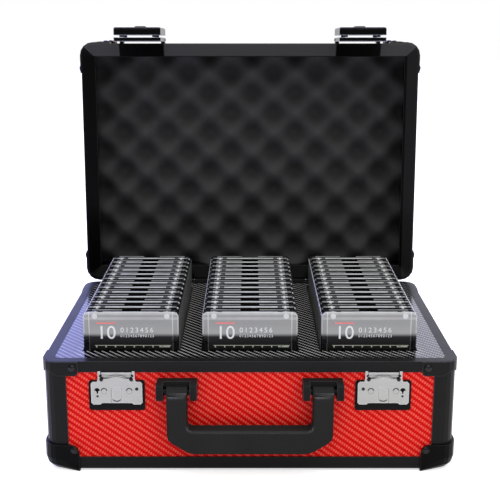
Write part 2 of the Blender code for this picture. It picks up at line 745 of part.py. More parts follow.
for (r0, c0), (r1, c1) in zip(edge, edge[1:] + edge[:1]):
    egg.faces.new((surface[r0][c0], surface[r1][c1], back[r1][c1], back[r0][c0]))
egg.faces.new([back[r][c] for r, c in edge])
foam_limit = bmesh.new()
foam_plan = rounded_outline(foam_half_x, foam_half_y, CORNER_RADIUS, steps=2)
add_prism(foam_limit, foam_plan, LID_RIM_Z, FOAM_BACK + CUT_OVERRUN)
lid_foam = make_piece("lid_foam", egg, "foam", lid_pivot, sharp_angle=60)
combine(lid_foam, "INTERSECT", make_guide("lid_foam_limit", foam_limit, lid_pivot))


# Continuous hinge: each leaf is one strip curled round the pin, with notches for the other leaf's knuckles
def curled_section(way):
    """The strip's section as seen along X: up the wall, over the pin and nearly back to itself."""
    bore = KNUCKLE_RADIUS - HINGE_LEAF
    leaf_end = way * HINGE_LEAF_WIDTH
    sweep = [math.pi + way * math.tau * CURL_SHARE * i / CURL_STEPS for i in range(CURL_STEPS + 1)]
    section = [(-KNUCKLE_RADIUS, leaf_end)]
    section += [(KNUCKLE_RADIUS * math.cos(a), KNUCKLE_RADIUS * math.sin(a)) for a in sweep]
    section += [(bore * math.cos(a), bore * math.sin(a)) for a in reversed(sweep)]
    section.append((-bore, leaf_end))
    return [(HINGE_AXIS.y + y, HINGE_AXIS.z + z) for y, z in section]


knuckle_pitch = HINGE_LENGTH / KNUCKLE_COUNT
for name, way, pivot, first_notch in (("hinge_base_leaf", -1, root, 0), ("hinge_lid_leaf", 1, lid_pivot, 1)):
    strip = bmesh.new()
    add_prism(strip, curled_section(way), -HINGE_LENGTH / 2, HINGE_LENGTH / 2, facing_side)
    notches = bmesh.new()
    reach = KNUCKLE_RADIUS + KNUCKLE_CLEARANCE
    for i in range(first_notch, KNUCKLE_COUNT, 2):
        x0 = -HINGE_LENGTH / 2 + i * knuckle_pitch - (CUT_OVERRUN if i == 0 else 0)
        x1 = -HINGE_LENGTH / 2 + (i + 1) * knuckle_pitch + (CUT_OVERRUN if i == KNUCKLE_COUNT - 1 else 0)
        add_box(
            notches, x0 - FIT / 2, x1 + FIT / 2, HINGE_AXIS.y - reach, HINGE_AXIS.y + reach,
            HINGE_AXIS.z - reach, HINGE_AXIS.z + reach,
        )
    leaf = make_piece(name, strip, "black_metal", pivot)
    cut_away(leaf, notches, pivot)
    rivets = bmesh.new()
    for i in range(HINGE_RIVET_COUNT):
        rivet_x = HINGE_LENGTH * ((i + 0.5) / HINGE_RIVET_COUNT - 0.5)
        rivet_z = HINGE_AXIS.z + way * HINGE_LEAF_WIDTH * HINGE_RIVET_SHARE
        place = (rivet_x, HALF_DEPTH + FIT + HINGE_LEAF - RIVET_SINK, rivet_z)
        add_dome(rivets, place, (0, 1, 0), HINGE_RIVET_RADIUS, HINGE_RIVET_HEIGHT)
    fuse(leaf, rivets, pivot, "rivets")
hinge_pin = bmesh.new()
add_rod(hinge_pin, -HINGE_LENGTH / 2, HINGE_LENGTH / 2, HINGE_AXIS.y, HINGE_AXIS.z, HINGE_PIN_RADIUS)
make_piece("hinge_pin", hinge_pin, "black_metal", lid_pivot)


# Locks on the base wall
def lock_cover_outline(x):
    """The silver cover: stepped foot, round corners, a bell-shaped top edge between two upright ears."""
    top, foot = LOCK_TOP_Z - LOCK_COVER_DROP, LOCK_TOP_Z - LOCK_COVER_DROP - LOCK_COVER_HEIGHT
    half, corner, ear = LOCK_COVER_WIDTH / 2, LOCK_COVER_CORNER, LOCK_EAR_SPAN / 2
    ear_top = LOCK_TOP_Z + LOCK_EAR_TOP
    right = [
        (half - LOCK_FOOT_WIDTH - LOCK_FOOT_STEP, foot + LOCK_FOOT_STEP),
        (half - LOCK_FOOT_WIDTH, foot),
        (half - corner, foot),
        (half, foot + corner),
        (half, top - corner),
        (half - corner, top),
        (ear + LOCK_EAR_STEP, top),
        (ear, top + LOCK_BELL_SHOULDER),
        (ear, ear_top),
        (ear - LOCK_EAR_WIDTH, ear_top),
        (ear - LOCK_EAR_WIDTH, top + LOCK_BELL_SHOULDER),
    ]
    bell_shares = ((0.62, 0.10), (0.42, 0.62), (0.22, 0.93))
    bell_half = ear - LOCK_EAR_WIDTH
    bell_height = LOCK_BELL_RISE - LOCK_BELL_SHOULDER
    for across_share, rise_share in bell_shares:
        right.append((bell_half * across_share, top + LOCK_BELL_SHOULDER + bell_height * rise_share))
    left = [(-across, z) for across, z in reversed(right)]
    peak = [(0, top + LOCK_BELL_RISE)]
    return [(x + across, z) for across, z in right + peak + left]


def tongue_outline(x, grow):
    """A plate with a round foot."""
    half = TONGUE_WIDTH / 2 + grow
    foot = LOCK_TOP_Z - LOCK_COVER_DROP - LOCK_COVER_HEIGHT + TONGUE_FOOT
    centre = foot + TONGUE_WIDTH / 2
    points = [
        (
            x + half * math.cos(math.pi * (1 + i / TONGUE_STEPS)),
            centre + half * math.sin(math.pi * (1 + i / TONGUE_STEPS)),
        )
        for i in range(TONGUE_STEPS + 1)
    ]
    top = foot + TONGUE_LENGTH + grow
    return points + [(x + half, top), (x - half, top)]


def circle_outline(x, z, radius, sides=RIVET_SIDES):
    angles = [math.tau * (i + 0.5) / sides for i in range(sides)]
    return [(x + radius * math.cos(angle), z + radius * math.sin(angle)) for angle in angles]


rivet_z = LOCK_TOP_Z - LOCK_RIVET_DROP
plate_back_y = FRONT_BOARD_Y - FIT
plate_front_y = plate_back_y - SHEET
for side_name, side in (("left", -1), ("right", 1)):
    x = side * LATCH_OFFSET
    plate_inset = LOCK_PLATE_HEIGHT / 2
    plate_shape = [
        (x + u, LOCK_TOP_Z - plate_inset + v)
        for u, v in rounded_outline(LOCK_PLATE_WIDTH / 2, plate_inset, LOCK_PLATE_CORNER, steps=1)
    ]
    plate = bmesh.new()
    add_prism(plate, plate_shape, plate_front_y, plate_back_y, facing_front)
    plate_holes = bmesh.new()
    cover_holes = bmesh.new()
    for holes, y0, y1 in (
        (plate_holes, plate_front_y - FIT / 2, plate_back_y + CUT_OVERRUN),
        (cover_holes, LOCK_FACE_Y - CUT_OVERRUN, plate_front_y - FIT / 2),
    ):
        add_prism(holes, tongue_outline(x, FIT), y0, y1, facing_front)
    keyhole_x, keyhole_z = x + side * KEYHOLE_OFFSET, LOCK_TOP_Z - KEYHOLE_DROP
    slot = KEYHOLE_SLOT_WIDTH / 2
    keyhole = circle_outline(keyhole_x, keyhole_z, KEYHOLE_RADIUS)
    keyhole = [point for point in keyhole if abs(point[0] - keyhole_x) > slot or point[1] > keyhole_z]
    slot_foot = keyhole_z - KEYHOLE_RADIUS - KEYHOLE_SLOT_LENGTH / 2
    keyhole.sort(key=lambda point: math.atan2(point[0] - keyhole_x, keyhole_z - point[1]) % math.tau)
    keyhole = [(keyhole_x + slot, slot_foot)] + keyhole + [(keyhole_x - slot, slot_foot)]
    add_prism(cover_holes, keyhole, LOCK_FACE_Y - CUT_OVERRUN, plate_front_y - FIT / 2, facing_front)
    cut_away(make_piece("lock_plate_" + side_name, plate, "black_metal", root), plate_holes, root)
    cover = bmesh.new()
    add_prism(cover, lock_cover_outline(x), LOCK_FACE_Y, LOCK_FACE_Y + LOCK_COVER_THICKNESS, facing_front)
    cover_piece = make_piece("lock_cover_" + side_name, cover, "nickel", root)
    cut_away(cover_piece, cover_holes, root)
    rivets = bmesh.new()
    for rivet_side in (-1, 1):
        head_place = (x + rivet_side * LOCK_RIVET_OFFSET, LOCK_FACE_Y + RIVET_SINK, rivet_z)
        add_dome(rivets, head_place, (0, -1, 0), LOCK_RIVET_RADIUS, LOCK_RIVET_PROUD + RIVET_SINK)
    fuse(cover_piece, rivets, root, "rivets")

    tongue = bmesh.new()
    add_prism(tongue, tongue_outline(x, 0), LOCK_FACE_Y, LOCK_FACE_Y + TONGUE_THICKNESS, facing_front)
    tongue_pivot = Pivot("lock_tongue_slide_" + side_name, (x, LOCK_FACE_Y, rivet_z), root)
    make_piece("lock_tongue_" + side_name, tongue, "nickel", tongue_pivot)

    keeper = bmesh.new()
    keeper_half = LOCK_EAR_SPAN / 2 - LOCK_EAR_WIDTH - KEEPER_GAP
    keeper_top = RIM_Z - RIM_FACE - FIT
    keeper_foot = LOCK_TOP_Z + FIT
    keeper_y = FRONT_BOARD_Y - FIT
    section = [(keeper_y, keeper_foot), (keeper_y, keeper_top), (keeper_y - KEEPER_DEPTH, keeper_top)]
    section += [
        (keeper_y - KEEPER_DEPTH, keeper_top - KEEPER_ROLL * 2),
        (keeper_y - KEEPER_DEPTH + KEEPER_ROLL / 2, keeper_top - KEEPER_ROLL * 3),
        (keeper_y - KEEPER_DEPTH + KEEPER_ROLL / 2, keeper_foot),
    ]
    add_prism(keeper, section, x - keeper_half, x + keeper_half, facing_side)
    make_piece("lock_keeper_" + side_name, keeper, "nickel", root)


# Hasps on the lid wall, each swinging on a pin between the ears of its base
def round_edges(bm, width, chosen, segments=1):
    edges = [e for e in bm.edges if chosen(e)]
    bmesh.ops.bevel(bm, geom=edges, offset=width, segments=segments, affect="EDGES", profile=0.5)


def lies_at(edge, axis, place):
    return all(abs(v.co[axis] - place) < LEAST_ROUND for v in edge.verts)


def runs_along(edge, axis):
    return abs(edge.verts[0].co[axis] - edge.verts[1].co[axis]) > LEAST_ROUND


hasp_tip_z = LID_RIM_Z - HASP_TIP
ear_outer = HASP_WIDTH / 2
ear_inner = ear_outer - HASP_EAR_WIDTH
plate_end_half = ear_inner - HASP_EAR_GAP
pin_hole = HASP_PIN_RADIUS + HASP_PIN_CLEARANCE
button_z = hasp_tip_z + BUTTON_FROM_TIP
button_face_y = HASP_COVER_Y - HASP_COVER_THICKNESS - BUTTON_PROUD
button_back_y = HASP_COVER_Y - HASP_COVER_THICKNESS + BUTTON_DEPTH
for side_name, side in (("left", -1), ("right", 1)):
    x = side * LATCH_OFFSET
    hasp_base = bmesh.new()
    leaf_back = FRONT_BOARD_Y - FIT
    leaf_face = leaf_back - HASP_BASE_THICKNESS
    foot_z, top_z = LID_RIM_Z + HASP_BASE_FOOT, LID_RIM_Z + HASP_BASE_TOP
    ear_round = HASP_PLATE_THICKNESS / 2
    ear_section = [
        (leaf_back, foot_z),
        (leaf_face, foot_z),
        (HASP_PIN_Y - ear_round / 2, HASP_PIN_Z - ear_round),
        (HASP_PIN_Y - ear_round, HASP_PIN_Z - ear_round / 2),
        (HASP_PIN_Y - ear_round, HASP_PIN_Z + ear_round / 2),
        (HASP_PIN_Y - ear_round / 2, HASP_PIN_Z + ear_round),
        (leaf_face, HASP_PIN_Z + ear_round + HASP_EAR_SHOULDER),
        (leaf_face, top_z),
        (leaf_back, top_z),
    ]
    add_prism(hasp_base, ear_section, x - ear_outer, x + ear_outer, facing_side)
    between = bmesh.new()
    add_box(
        between, x - ear_inner, x + ear_inner, HASP_PIN_Y - HASP_PLATE_THICKNESS, leaf_face,
        foot_z - CUT_OVERRUN, top_z + CUT_OVERRUN,
    )
    hasp_base_piece = make_piece("hasp_base_" + side_name, hasp_base, "black_metal", lid_pivot)
    cut_away(hasp_base_piece, between, lid_pivot)
    pin = bmesh.new()
    pin_end = ear_outer + HASP_PIN_HEAD
    add_rod(pin, x - pin_end, x + pin_end, HASP_PIN_Y, HASP_PIN_Z, HASP_PIN_RADIUS)
    fuse(hasp_base_piece, pin, lid_pivot, "pin")

    hasp_pivot = Pivot("hasp_pivot_" + side_name, (x, HASP_PIN_Y, HASP_PIN_Z), lid_pivot)
    neck_z = LID_RIM_Z + HASP_NECK_RISE
    tail_z = HASP_PIN_Z + ear_round
    shape = [
        (x - ear_outer, hasp_tip_z), (x + ear_outer, hasp_tip_z), (x + ear_outer, neck_z),
        (x + plate_end_half, neck_z), (x + plate_end_half, tail_z), (x - plate_end_half, tail_z),
        (x - plate_end_half, neck_z), (x - ear_outer, neck_z),
    ]
    plate = bmesh.new()
    add_prism(plate, shape, HASP_Y - HASP_PLATE_THICKNESS, HASP_Y, facing_front)
    round_edges(plate, ear_round * TAIL_ROUND_SHARE, lambda e: lies_at(e, 2, tail_z) and runs_along(e, 0))
    hollow = bmesh.new()
    pocket_foot = hasp_tip_z + HASP_POCKET_WALL
    pocket_half = ear_outer - HASP_POCKET_WALL
    add_box(
        hollow, x - pocket_half, x + pocket_half, HASP_Y - HASP_POCKET_DEPTH, HASP_Y + CUT_OVERRUN,
        pocket_foot, neck_z - HASP_POCKET_WALL,
    )
    add_rod(hollow, x - ear_outer, x + ear_outer, HASP_PIN_Y, HASP_PIN_Z, pin_hole)
    cut_away(make_piece("hasp_plate_" + side_name, plate, "black_metal", hasp_pivot), hollow, hasp_pivot)

    cover = bmesh.new()
    add_box(
        cover, x - ear_outer, x + ear_outer, HASP_COVER_Y - HASP_COVER_THICKNESS, HASP_COVER_Y,
        hasp_tip_z, HASP_PIN_Z + HASP_COVER_TAIL,
    )
    outer_y = HASP_COVER_Y - HASP_COVER_THICKNESS
    round_edges(cover, HASP_BEVEL, lambda e: lies_at(e, 1, outer_y), 2)
    spacers = bmesh.new()
    spacer_x = ear_outer - HASP_SPACER_INSET
    for spacer_side in (-1, 1):
        for spacer_z in (hasp_tip_z + HASP_SPACER_INSET, neck_z - HASP_SPACER_INSET):
            outline = circle_outline(x + spacer_side * spacer_x, spacer_z, HASP_SPACER_RADIUS)
            spacer_end = HASP_COVER_Y + HASP_SLOT - FIT
            add_prism(spacers, outline, HASP_COVER_Y - CUT_OVERRUN, spacer_end, facing_front)
    pocket = bmesh.new()
    half, reach = BUTTON_WIDTH / 2 + FIT, BUTTON_LENGTH / 2 + FIT
    add_box(
        pocket, x - half, x + half, outer_y - CUT_OVERRUN, button_back_y + BUTTON_TRAVEL + FIT,
        button_z - reach, button_z + reach,
    )
    cover_piece = make_piece("hasp_cover_" + side_name, cover, "black_metal", hasp_pivot)
    cut_away(cover_piece, pocket, hasp_pivot)
    fuse(cover_piece, spacers, hasp_pivot, "spacers")

    button = bmesh.new()
    half, reach = BUTTON_WIDTH / 2, BUTTON_LENGTH / 2
    add_box(button, x - half, x + half, button_face_y, button_back_y, button_z - reach, button_z + reach)
    round_edges(button, BUTTON_PROUD / 2, lambda e: lies_at(e, 1, button_face_y))
    button_pivot = Pivot("hasp_button_slide_" + side_name, (x, button_face_y, button_z), hasp_pivot)
    make_piece("hasp_button_" + side_name, button, "black_plastic", button_pivot)


def eased_corner(corner, to_before, to_after):
    """Three points that round a corner off, from one side of it to the other."""
    middle = corner + (to_before + to_after) / 4
    return [tuple(corner + to_before), tuple(middle), tuple(corner + to_after)]


# Carrying handle: one moulding in the shape of a wide U, its lower corners cut away
arm_outer, arm_inner = HANDLE_HALF_WIDTH, HANDLE_HALF_WIDTH - HANDLE_ARM_WIDTH
arm_middle = (arm_outer + arm_inner) / 2
head_z = HANDLE_PIVOT_HEIGHT + HANDLE_HEAD
foot_z = HANDLE_PIVOT_HEIGHT - HANDLE_DROP
grip_z = foot_z + HANDLE_GRIP_HEIGHT
arc_share = 0.3
cut_low = Vector((arm_outer - HANDLE_CUT_ACROSS, foot_z))
cut_high = Vector((arm_outer, foot_z + HANDLE_CUT_UP))
along_cut = (cut_high - cut_low).normalized() * HANDLE_CUT_ROUND
right = [
    *eased_corner(cut_low, Vector((-HANDLE_CUT_ROUND, 0)), along_cut),
    *eased_corner(cut_high, -along_cut, Vector((0, HANDLE_CUT_ROUND))),
    (arm_outer, head_z),
    (arm_inner, head_z),
    (arm_inner, grip_z + HANDLE_INNER_RADIUS),
    (arm_inner - HANDLE_INNER_RADIUS * arc_share, grip_z + HANDLE_INNER_RADIUS * arc_share),
    (arm_inner - HANDLE_INNER_RADIUS, grip_z),
]
handle_outline = right + [(-x, z) for x, z in reversed(right)]
handle = bmesh.new()
back_y, face_y = HANDLE_Y + HANDLE_THICKNESS / 2, HANDLE_Y - HANDLE_THICKNESS / 2
add_prism(handle, handle_outline, face_y, back_y, facing_front)
round_edges(handle, HANDLE_THICKNESS * HEAD_ROUND_SHARE, lambda e: lies_at(e, 2, head_z) and runs_along(e, 0), 3)
round_edges(
    handle, HANDLE_EDGE,
    lambda e: all(v.co.z < HANDLE_PIVOT_HEIGHT for v in e.verts) and not runs_along(e, 1), 2,
)
pin_holes = bmesh.new()
for side in (-1, 1):
    x = side * arm_middle
    half = BRACKET_WIDTH / 2
    add_rod(
        pin_holes, x - half - CUT_OVERRUN, x + half + CUT_OVERRUN, HANDLE_Y, HANDLE_PIVOT_HEIGHT,
        HANDLE_PIN_RADIUS + FIT,
    )
cut_away(make_piece("handle", handle, "black_plastic", handle_pivot), pin_holes, handle_pivot)

# Handle brackets: a base plate, two round-nosed ears and a shallow hood over the arm's head
for side_name, side in (("left", -1), ("right", 1)):
    x = side * arm_middle
    half = BRACKET_WIDTH / 2
    top_z = HANDLE_PIVOT_HEIGHT + BRACKET_RISE
    low_z = top_z - BRACKET_HEIGHT
    base_back = FRONT_BOARD_Y - FIT
    base_face = base_back - BRACKET_BASE
    nose_y = face_y
    edge = BRACKET_EDGE
    turn = edge * BRACKET_ROUND_SHARE
    hood_y = base_back - BRACKET_HOOD_DEPTH
    ear_section = [
        (base_back, low_z), (nose_y + edge, low_z), (nose_y + turn, low_z + turn), (nose_y, low_z + edge),
        (nose_y, top_z - edge), (nose_y + turn, top_z - turn), (nose_y + edge, top_z), (base_back, top_z),
    ]
    bracket = bmesh.new()
    add_prism(bracket, ear_section, x - half, x + half, facing_side)
    clear = bmesh.new()
    gap_half = half - BRACKET_EAR
    hollow = [
        (base_face, low_z - CUT_OVERRUN), (base_face, top_z - BRACKET_HOOD_HEIGHT),
        (hood_y, top_z - BRACKET_HOOD_HEIGHT), (hood_y, top_z + CUT_OVERRUN),
        (nose_y - CUT_OVERRUN, top_z + CUT_OVERRUN), (nose_y - CUT_OVERRUN, low_z - CUT_OVERRUN),
    ]
    add_prism(clear, hollow, x - gap_half, x + gap_half, facing_side)
    bracket_piece = make_piece("handle_bracket_" + side_name, bracket, "black_metal", root)
    cut_away(bracket_piece, clear, root)
    pin = bmesh.new()
    pin_end = half + HANDLE_PIN_HEAD
    add_rod(pin, x - pin_end, x + pin_end, HANDLE_Y, HANDLE_PIVOT_HEIGHT, HANDLE_PIN_RADIUS)
    fuse(bracket_piece, pin, root, "pin")


# Card holders: two clear shells closed on a seam, with a label window near the top of the front face
def holder_outline(inset):
    half, top, foot = HOLDER_WIDTH / 2 - inset, HOLDER_TOP_Z - inset, HOLDER_BASE_Z + inset
    radius = HOLDER_RADIUS - inset
    cut = HOLDER_FOOT_RADIUS
    points = [(-half + cut, foot), (half - cut, foot), (half, foot + cut)]
    for i in range(HOLDER_STEPS + 1):
        angle = math.pi / 2 * i / HOLDER_STEPS
        points.append((half - radius + radius * math.cos(angle), top - radius + radius * math.sin(angle)))
    for i in range(HOLDER_STEPS + 1):
        angle = math.pi / 2 * (1 + i / HOLDER_STEPS)
        points.append((-half + radius + radius * math.cos(angle), top - radius + radius * math.sin(angle)))
    points.append((-half, foot + cut))
    return points


def add_holder(bm, x, y):
    """One holder: bevelled faces, a seam groove round its middle and a recess where the label shows."""
    stations = (
        (0, HOLDER_BEVEL), (HOLDER_BEVEL, 0), (HOLDER_THICKNESS / 2, HOLDER_SEAM),
        (HOLDER_THICKNESS - HOLDER_BEVEL, 0), (HOLDER_THICKNESS, HOLDER_BEVEL),
    )
    loops = [
        [bm.verts.new((x + u, y + depth, z)) for u, z in holder_outline(inset)]
        for depth, inset in stations
    ]
    for loop, following in zip(loops, loops[1:]):
        for i in range(len(loop)):
            j = (i + 1) % len(loop)
            bm.faces.new((loop[i], loop[j], following[j], following[i]))
    bm.faces.new(loops[-1])
    window_half = LABEL_WIDTH / 2 + FIT
    window_top = HOLDER_TOP_Z - LABEL_DROP + FIT
    window_foot = HOLDER_TOP_Z - LABEL_DROP - LABEL_HEIGHT - FIT
    window = (
        (-window_half, window_foot), (window_half, window_foot),
        (window_half, window_top), (-window_half, window_top),
    )
    mouth = [bm.verts.new((x + u, y, z)) for u, z in window]
    depth = y + LABEL_THICKNESS + FIT
    bed = [bm.verts.new((x + u, depth, z)) for u, z in window]
    for i in range(4):
        j = (i + 1) % 4
        bm.faces.new((mouth[i], mouth[j], bed[j], bed[i]))
    bm.faces.new(bed)
    front = loops[0]
    left_top, right_top = len(front) - 2, 2 + HOLDER_STEPS + 1
    bm.faces.new([front[0], front[1], mouth[1], mouth[0]])
    bm.faces.new([front[1], front[2]] + front[3:right_top] + [mouth[2], mouth[1]])
    bm.faces.new(front[right_top - 1:right_top + 1] + [mouth[3], mouth[2]])
    bm.faces.new(front[right_top:] + [front[0], mouth[0], mouth[3]])


for row_name, x in zip(("left", "middle", "right"), row_places):
    row_pivot = Pivot("holder_row_slide_" + row_name, (x, row_front + row_length / 2, TRAY_BASE_Z), root)
    tray = bmesh.new()
    tray_half = HOLDER_WIDTH / 2 + TRAY_WALL
    add_box(
        tray, x - tray_half, x + tray_half, row_front - TRAY_WALL, row_front + row_length + TRAY_WALL,
        TRAY_BASE_Z, TRAY_BASE_Z + TRAY_HEIGHT,
    )
    holders = bmesh.new()
    for i in range(HOLDER_COUNT):
        add_holder(holders, x, row_front + HOLDER_PITCH * i)
    row = make_piece("card_holders_" + row_name, tray, "clear_plastic", row_pivot)
    fuse(row, holders, row_pivot, "holders")
    label = bmesh.new()
    label_top = HOLDER_TOP_Z - LABEL_DROP
    add_box(
        label, x - LABEL_WIDTH / 2, x + LABEL_WIDTH / 2, row_front, row_front + LABEL_THICKNESS,
        label_top - LABEL_HEIGHT, label_top,
    )
    make_piece("holder_label_" + row_name, label, "label_card", row_pivot)
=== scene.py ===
import math

import bmesh
import bpy
from mathutils import Matrix, Vector


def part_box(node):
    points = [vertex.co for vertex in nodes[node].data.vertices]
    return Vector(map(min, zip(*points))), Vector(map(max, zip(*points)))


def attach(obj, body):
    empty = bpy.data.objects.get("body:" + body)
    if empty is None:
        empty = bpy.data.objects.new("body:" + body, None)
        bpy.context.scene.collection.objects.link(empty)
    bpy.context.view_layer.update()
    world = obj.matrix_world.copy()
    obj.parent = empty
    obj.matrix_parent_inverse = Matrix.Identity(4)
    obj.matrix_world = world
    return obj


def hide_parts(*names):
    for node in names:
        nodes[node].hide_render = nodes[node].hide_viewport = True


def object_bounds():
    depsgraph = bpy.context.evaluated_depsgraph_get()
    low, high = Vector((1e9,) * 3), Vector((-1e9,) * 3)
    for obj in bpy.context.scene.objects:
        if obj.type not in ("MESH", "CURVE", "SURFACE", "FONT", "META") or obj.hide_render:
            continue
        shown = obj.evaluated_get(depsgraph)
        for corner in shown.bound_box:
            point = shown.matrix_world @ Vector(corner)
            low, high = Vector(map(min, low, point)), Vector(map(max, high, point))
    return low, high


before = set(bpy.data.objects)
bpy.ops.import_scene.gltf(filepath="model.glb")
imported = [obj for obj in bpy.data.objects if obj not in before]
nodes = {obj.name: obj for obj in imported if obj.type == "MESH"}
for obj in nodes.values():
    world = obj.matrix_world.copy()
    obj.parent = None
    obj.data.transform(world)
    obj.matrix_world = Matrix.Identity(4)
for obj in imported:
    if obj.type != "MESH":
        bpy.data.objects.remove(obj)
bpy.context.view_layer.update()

# Camera and studio. The case stands on pale paper under two wide soft boxes and a small cool lamp.
# The room is white low down all round. Higher up it is dim in front, so that the black parts stay
# black, and it glows lavender at the left rear.
scene = bpy.context.scene
scene.view_settings.view_transform = "Standard"
camera = bpy.data.objects.new("camera", bpy.data.cameras.new("camera"))
scene.collection.objects.link(camera)
camera.location = (0, -0.9063, 0.3826)
camera.rotation_euler = (math.radians(76.15), 0, 0)
camera.data.lens = 72.2
camera.data.sensor_width = 36
camera.data.clip_start = 0.05
scene.camera = camera


class Wire:
    """An output of a shader node. Arithmetic on wires adds Math nodes to the same node tree."""

    def __init__(self, tree, socket=None):
        self.tree, self.socket = tree, socket

    def add(self, kind, settings=None, sockets=None, output=0):
        """Adds any node: first its settings, then the values or links of its sockets."""
        node = self.tree.nodes.new(kind)
        for name, value in (settings or {}).items():
            setattr(node, name, value)
        for name, value in (sockets or {}).items():
            if isinstance(value, Wire):
                self.tree.links.new(value.socket, node.inputs[name])
            else:
                node.inputs[name].default_value = value
        return Wire(self.tree, node.outputs[output] if node.outputs else None)

    def math(self, operation, *others):
        values = dict(enumerate((self, *others)))
        return self.add("ShaderNodeMath", {"operation": operation}, values)

    def __add__(self, other):
        return self.math("ADD", other)

    def __sub__(self, other):
        return self.math("SUBTRACT", other)

    def __mul__(self, other):
        return self.math("MULTIPLY", other)

    def __truediv__(self, other):
        return self.math("DIVIDE", other)

    def __pow__(self, other):
        return self.math("POWER", other)

    def __abs__(self):
        return self.math("ABSOLUTE")

    __radd__ = __add__
    __rmul__ = __mul__

    def __rsub__(self, other):
        return self.add("ShaderNodeMath", {"operation": "SUBTRACT"}, {0: other, 1: self})

    def ease(self, low, high):
        """0 below low, 1 above high, smooth between."""
        return self.add(
            "ShaderNodeMapRange", {"interpolation_type": "SMOOTHSTEP"},
            {"Value": self, "From Min": low, "From Max": high},
        )

    def band(self, rise, risen, fall, fallen):
        """1 from risen to fall, 0 outside rise and fallen."""
        return self.ease(rise, risen) - self.ease(fall, fallen)

    def tint(self, first, second):
        """A colour between two, this wire being the share of the second."""
        sockets = {0: self, 6: first, 7: second}
        return self.add("ShaderNodeMix", {"data_type": "RGBA"}, sockets, output=2)

    def split(self):
        """The three numbers of a vector."""
        return [self.add("ShaderNodeSeparateXYZ", None, {0: self}, output=i) for i in range(3)]


def grey(tone):
    return (tone, tone, tone, 1)


world = bpy.data.worlds.new("studio")
scene.world = world
world.use_nodes = True
world.node_tree.nodes.clear()
room = Wire(world.node_tree)
to_right, to_rear, upward = room.add("ShaderNodeTexCoord").split()
high_up = upward.ease(0.07, 0.16)
overhead = upward.ease(0.35, 0.95)
behind_case = to_rear.ease(-0.1, 0.3)
left_side = (0 - to_right).ease(0.05, 0.2)
lavender = left_side.tint((1.7, 1.7, 2.05, 1), (1.55, 1.64, 3.8, 1))
around = behind_case.tint(grey(0.36), lavender)
upper_room = overhead.tint(around, grey(0.95))
backdrop = high_up.tint(grey(1), upper_room)
sky = room.add("ShaderNodeBackground", None, {"Color": backdrop, "Strength": 1.0})
room.add("ShaderNodeOutputWorld", None, {"Surface": sky})

for name, place, aim, size, watts, colour in (
    ("soft_box_front", (0.25, -1.3, 1.1), (0, 0, 0.12), (1.9, 1.4), 15, (1, 1, 1)),
    ("soft_box_above", (0.2, -0.1, 1.5), (0, 0, 0.1), (1.0, 0.8), 7, (1, 1, 1)),
    ("cool_lamp_left", (-0.75, 0.5, 0.42), (-0.12, -0.02, 0.09), (0.5, 0.5), 8, (0.4, 0.4, 1)),
):
    lamp = bpy.data.lights.new(name, "AREA")
    lamp.shape = "RECTANGLE"
    lamp.size, lamp.size_y = size
    lamp.energy = watts
    lamp.color = colour
    light = bpy.data.objects.new(name, lamp)
    light.location = place
    light.rotation_euler = (Vector(aim) - Vector(place)).to_track_quat("-Z", "Y").to_euler()
    light.visible_camera = False
    scene.collection.objects.link(light)


def start_finish(name):
    """A new material and a wire to build it on."""
    material = bpy.data.materials.new(name)
    material.use_nodes = True
    material.node_tree.nodes.clear()
    return material, Wire(material.node_tree)


# The paper is pale. Camera, glossy and transmission rays see it lifted to white, and it keeps the
# shadow of the case.
floor_mesh = bmesh.new()
bmesh.ops.create_grid(floor_mesh, x_segments=1, y_segments=1, size=6)
bmesh.ops.translate(floor_mesh, verts=floor_mesh.verts, vec=(0, 0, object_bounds()[0][2]))
floor_data = bpy.data.meshes.new("floor")
floor_mesh.to_mesh(floor_data)
floor_mesh.free()
floor = bpy.data.objects.new("floor", floor_data)
scene.collection.objects.link(floor)
paper, ground = start_finish("studio_paper")
matt = ground.add("ShaderNodeBsdfDiffuse", None, {"Color": grey(0.86)})
camera_ray, glossy_ray, transmission_ray = (
    ground.add("ShaderNodeLightPath", None, None, output=i) for i in (0, 3, 6)
)
seen = (camera_ray + glossy_ray + transmission_ray).math("MINIMUM", 1.0)
lift = ground.add("ShaderNodeEmission", None, {"Color": grey(1), "Strength": 0.55})
dark = ground.add("ShaderNodeEmission", None, {"Color": grey(0), "Strength": 0.0})
lifted = ground.add("ShaderNodeMixShader", None, {0: seen, 1: dark, 2: lift})
surface = ground.add("ShaderNodeAddShader", None, {0: matt, 1: lifted})
ground.add("ShaderNodeOutputMaterial", None, {"Surface": surface})
floor_data.materials.append(paper)


# Boards of the base and the lid. The real ones are thin boards wrapped in a glossy red vinyl,
# embossed and printed with a coarse twill, and slid into the aluminium frame.
def close_finish(start, sockets):
    shader = start.add("ShaderNodeBsdfPrincipled", None, sockets)
    start.add("ShaderNodeOutputMaterial", None, {"Surface": shader})


def noise(start, place, scale, detail=2.0, roughness=0.5):
    sockets = {"Vector": place, "Scale": scale, "Detail": detail, "Roughness": roughness}
    return start.add("ShaderNodeTexNoise", None, sockets)


def relief(start, height, strength, distance):
    sockets = {"Height": height, "Strength": strength, "Distance": distance}
    return start.add("ShaderNodeBump", None, sockets)


def object_place(start):
    """Object coordinates, whole and as three numbers."""
    place = start.add("ShaderNodeTexCoord", None, None, output=3)
    return place, place.split()


hinge_y, hinge_z, lid_angle = 0.1249, 0.0948, math.radians(92.5)
turn_cos, turn_sin = math.cos(lid_angle), math.sin(lid_angle)
lock_middle = 0.1110


def open_up(x, y, z):
    """Where a point of the closed lid comes when the lid stands open."""
    back, up = y - hinge_y, z - hinge_z
    open_y = hinge_y + back * turn_cos + up * turn_sin
    return x, open_y, hinge_z - back * turn_sin + up * turn_cos


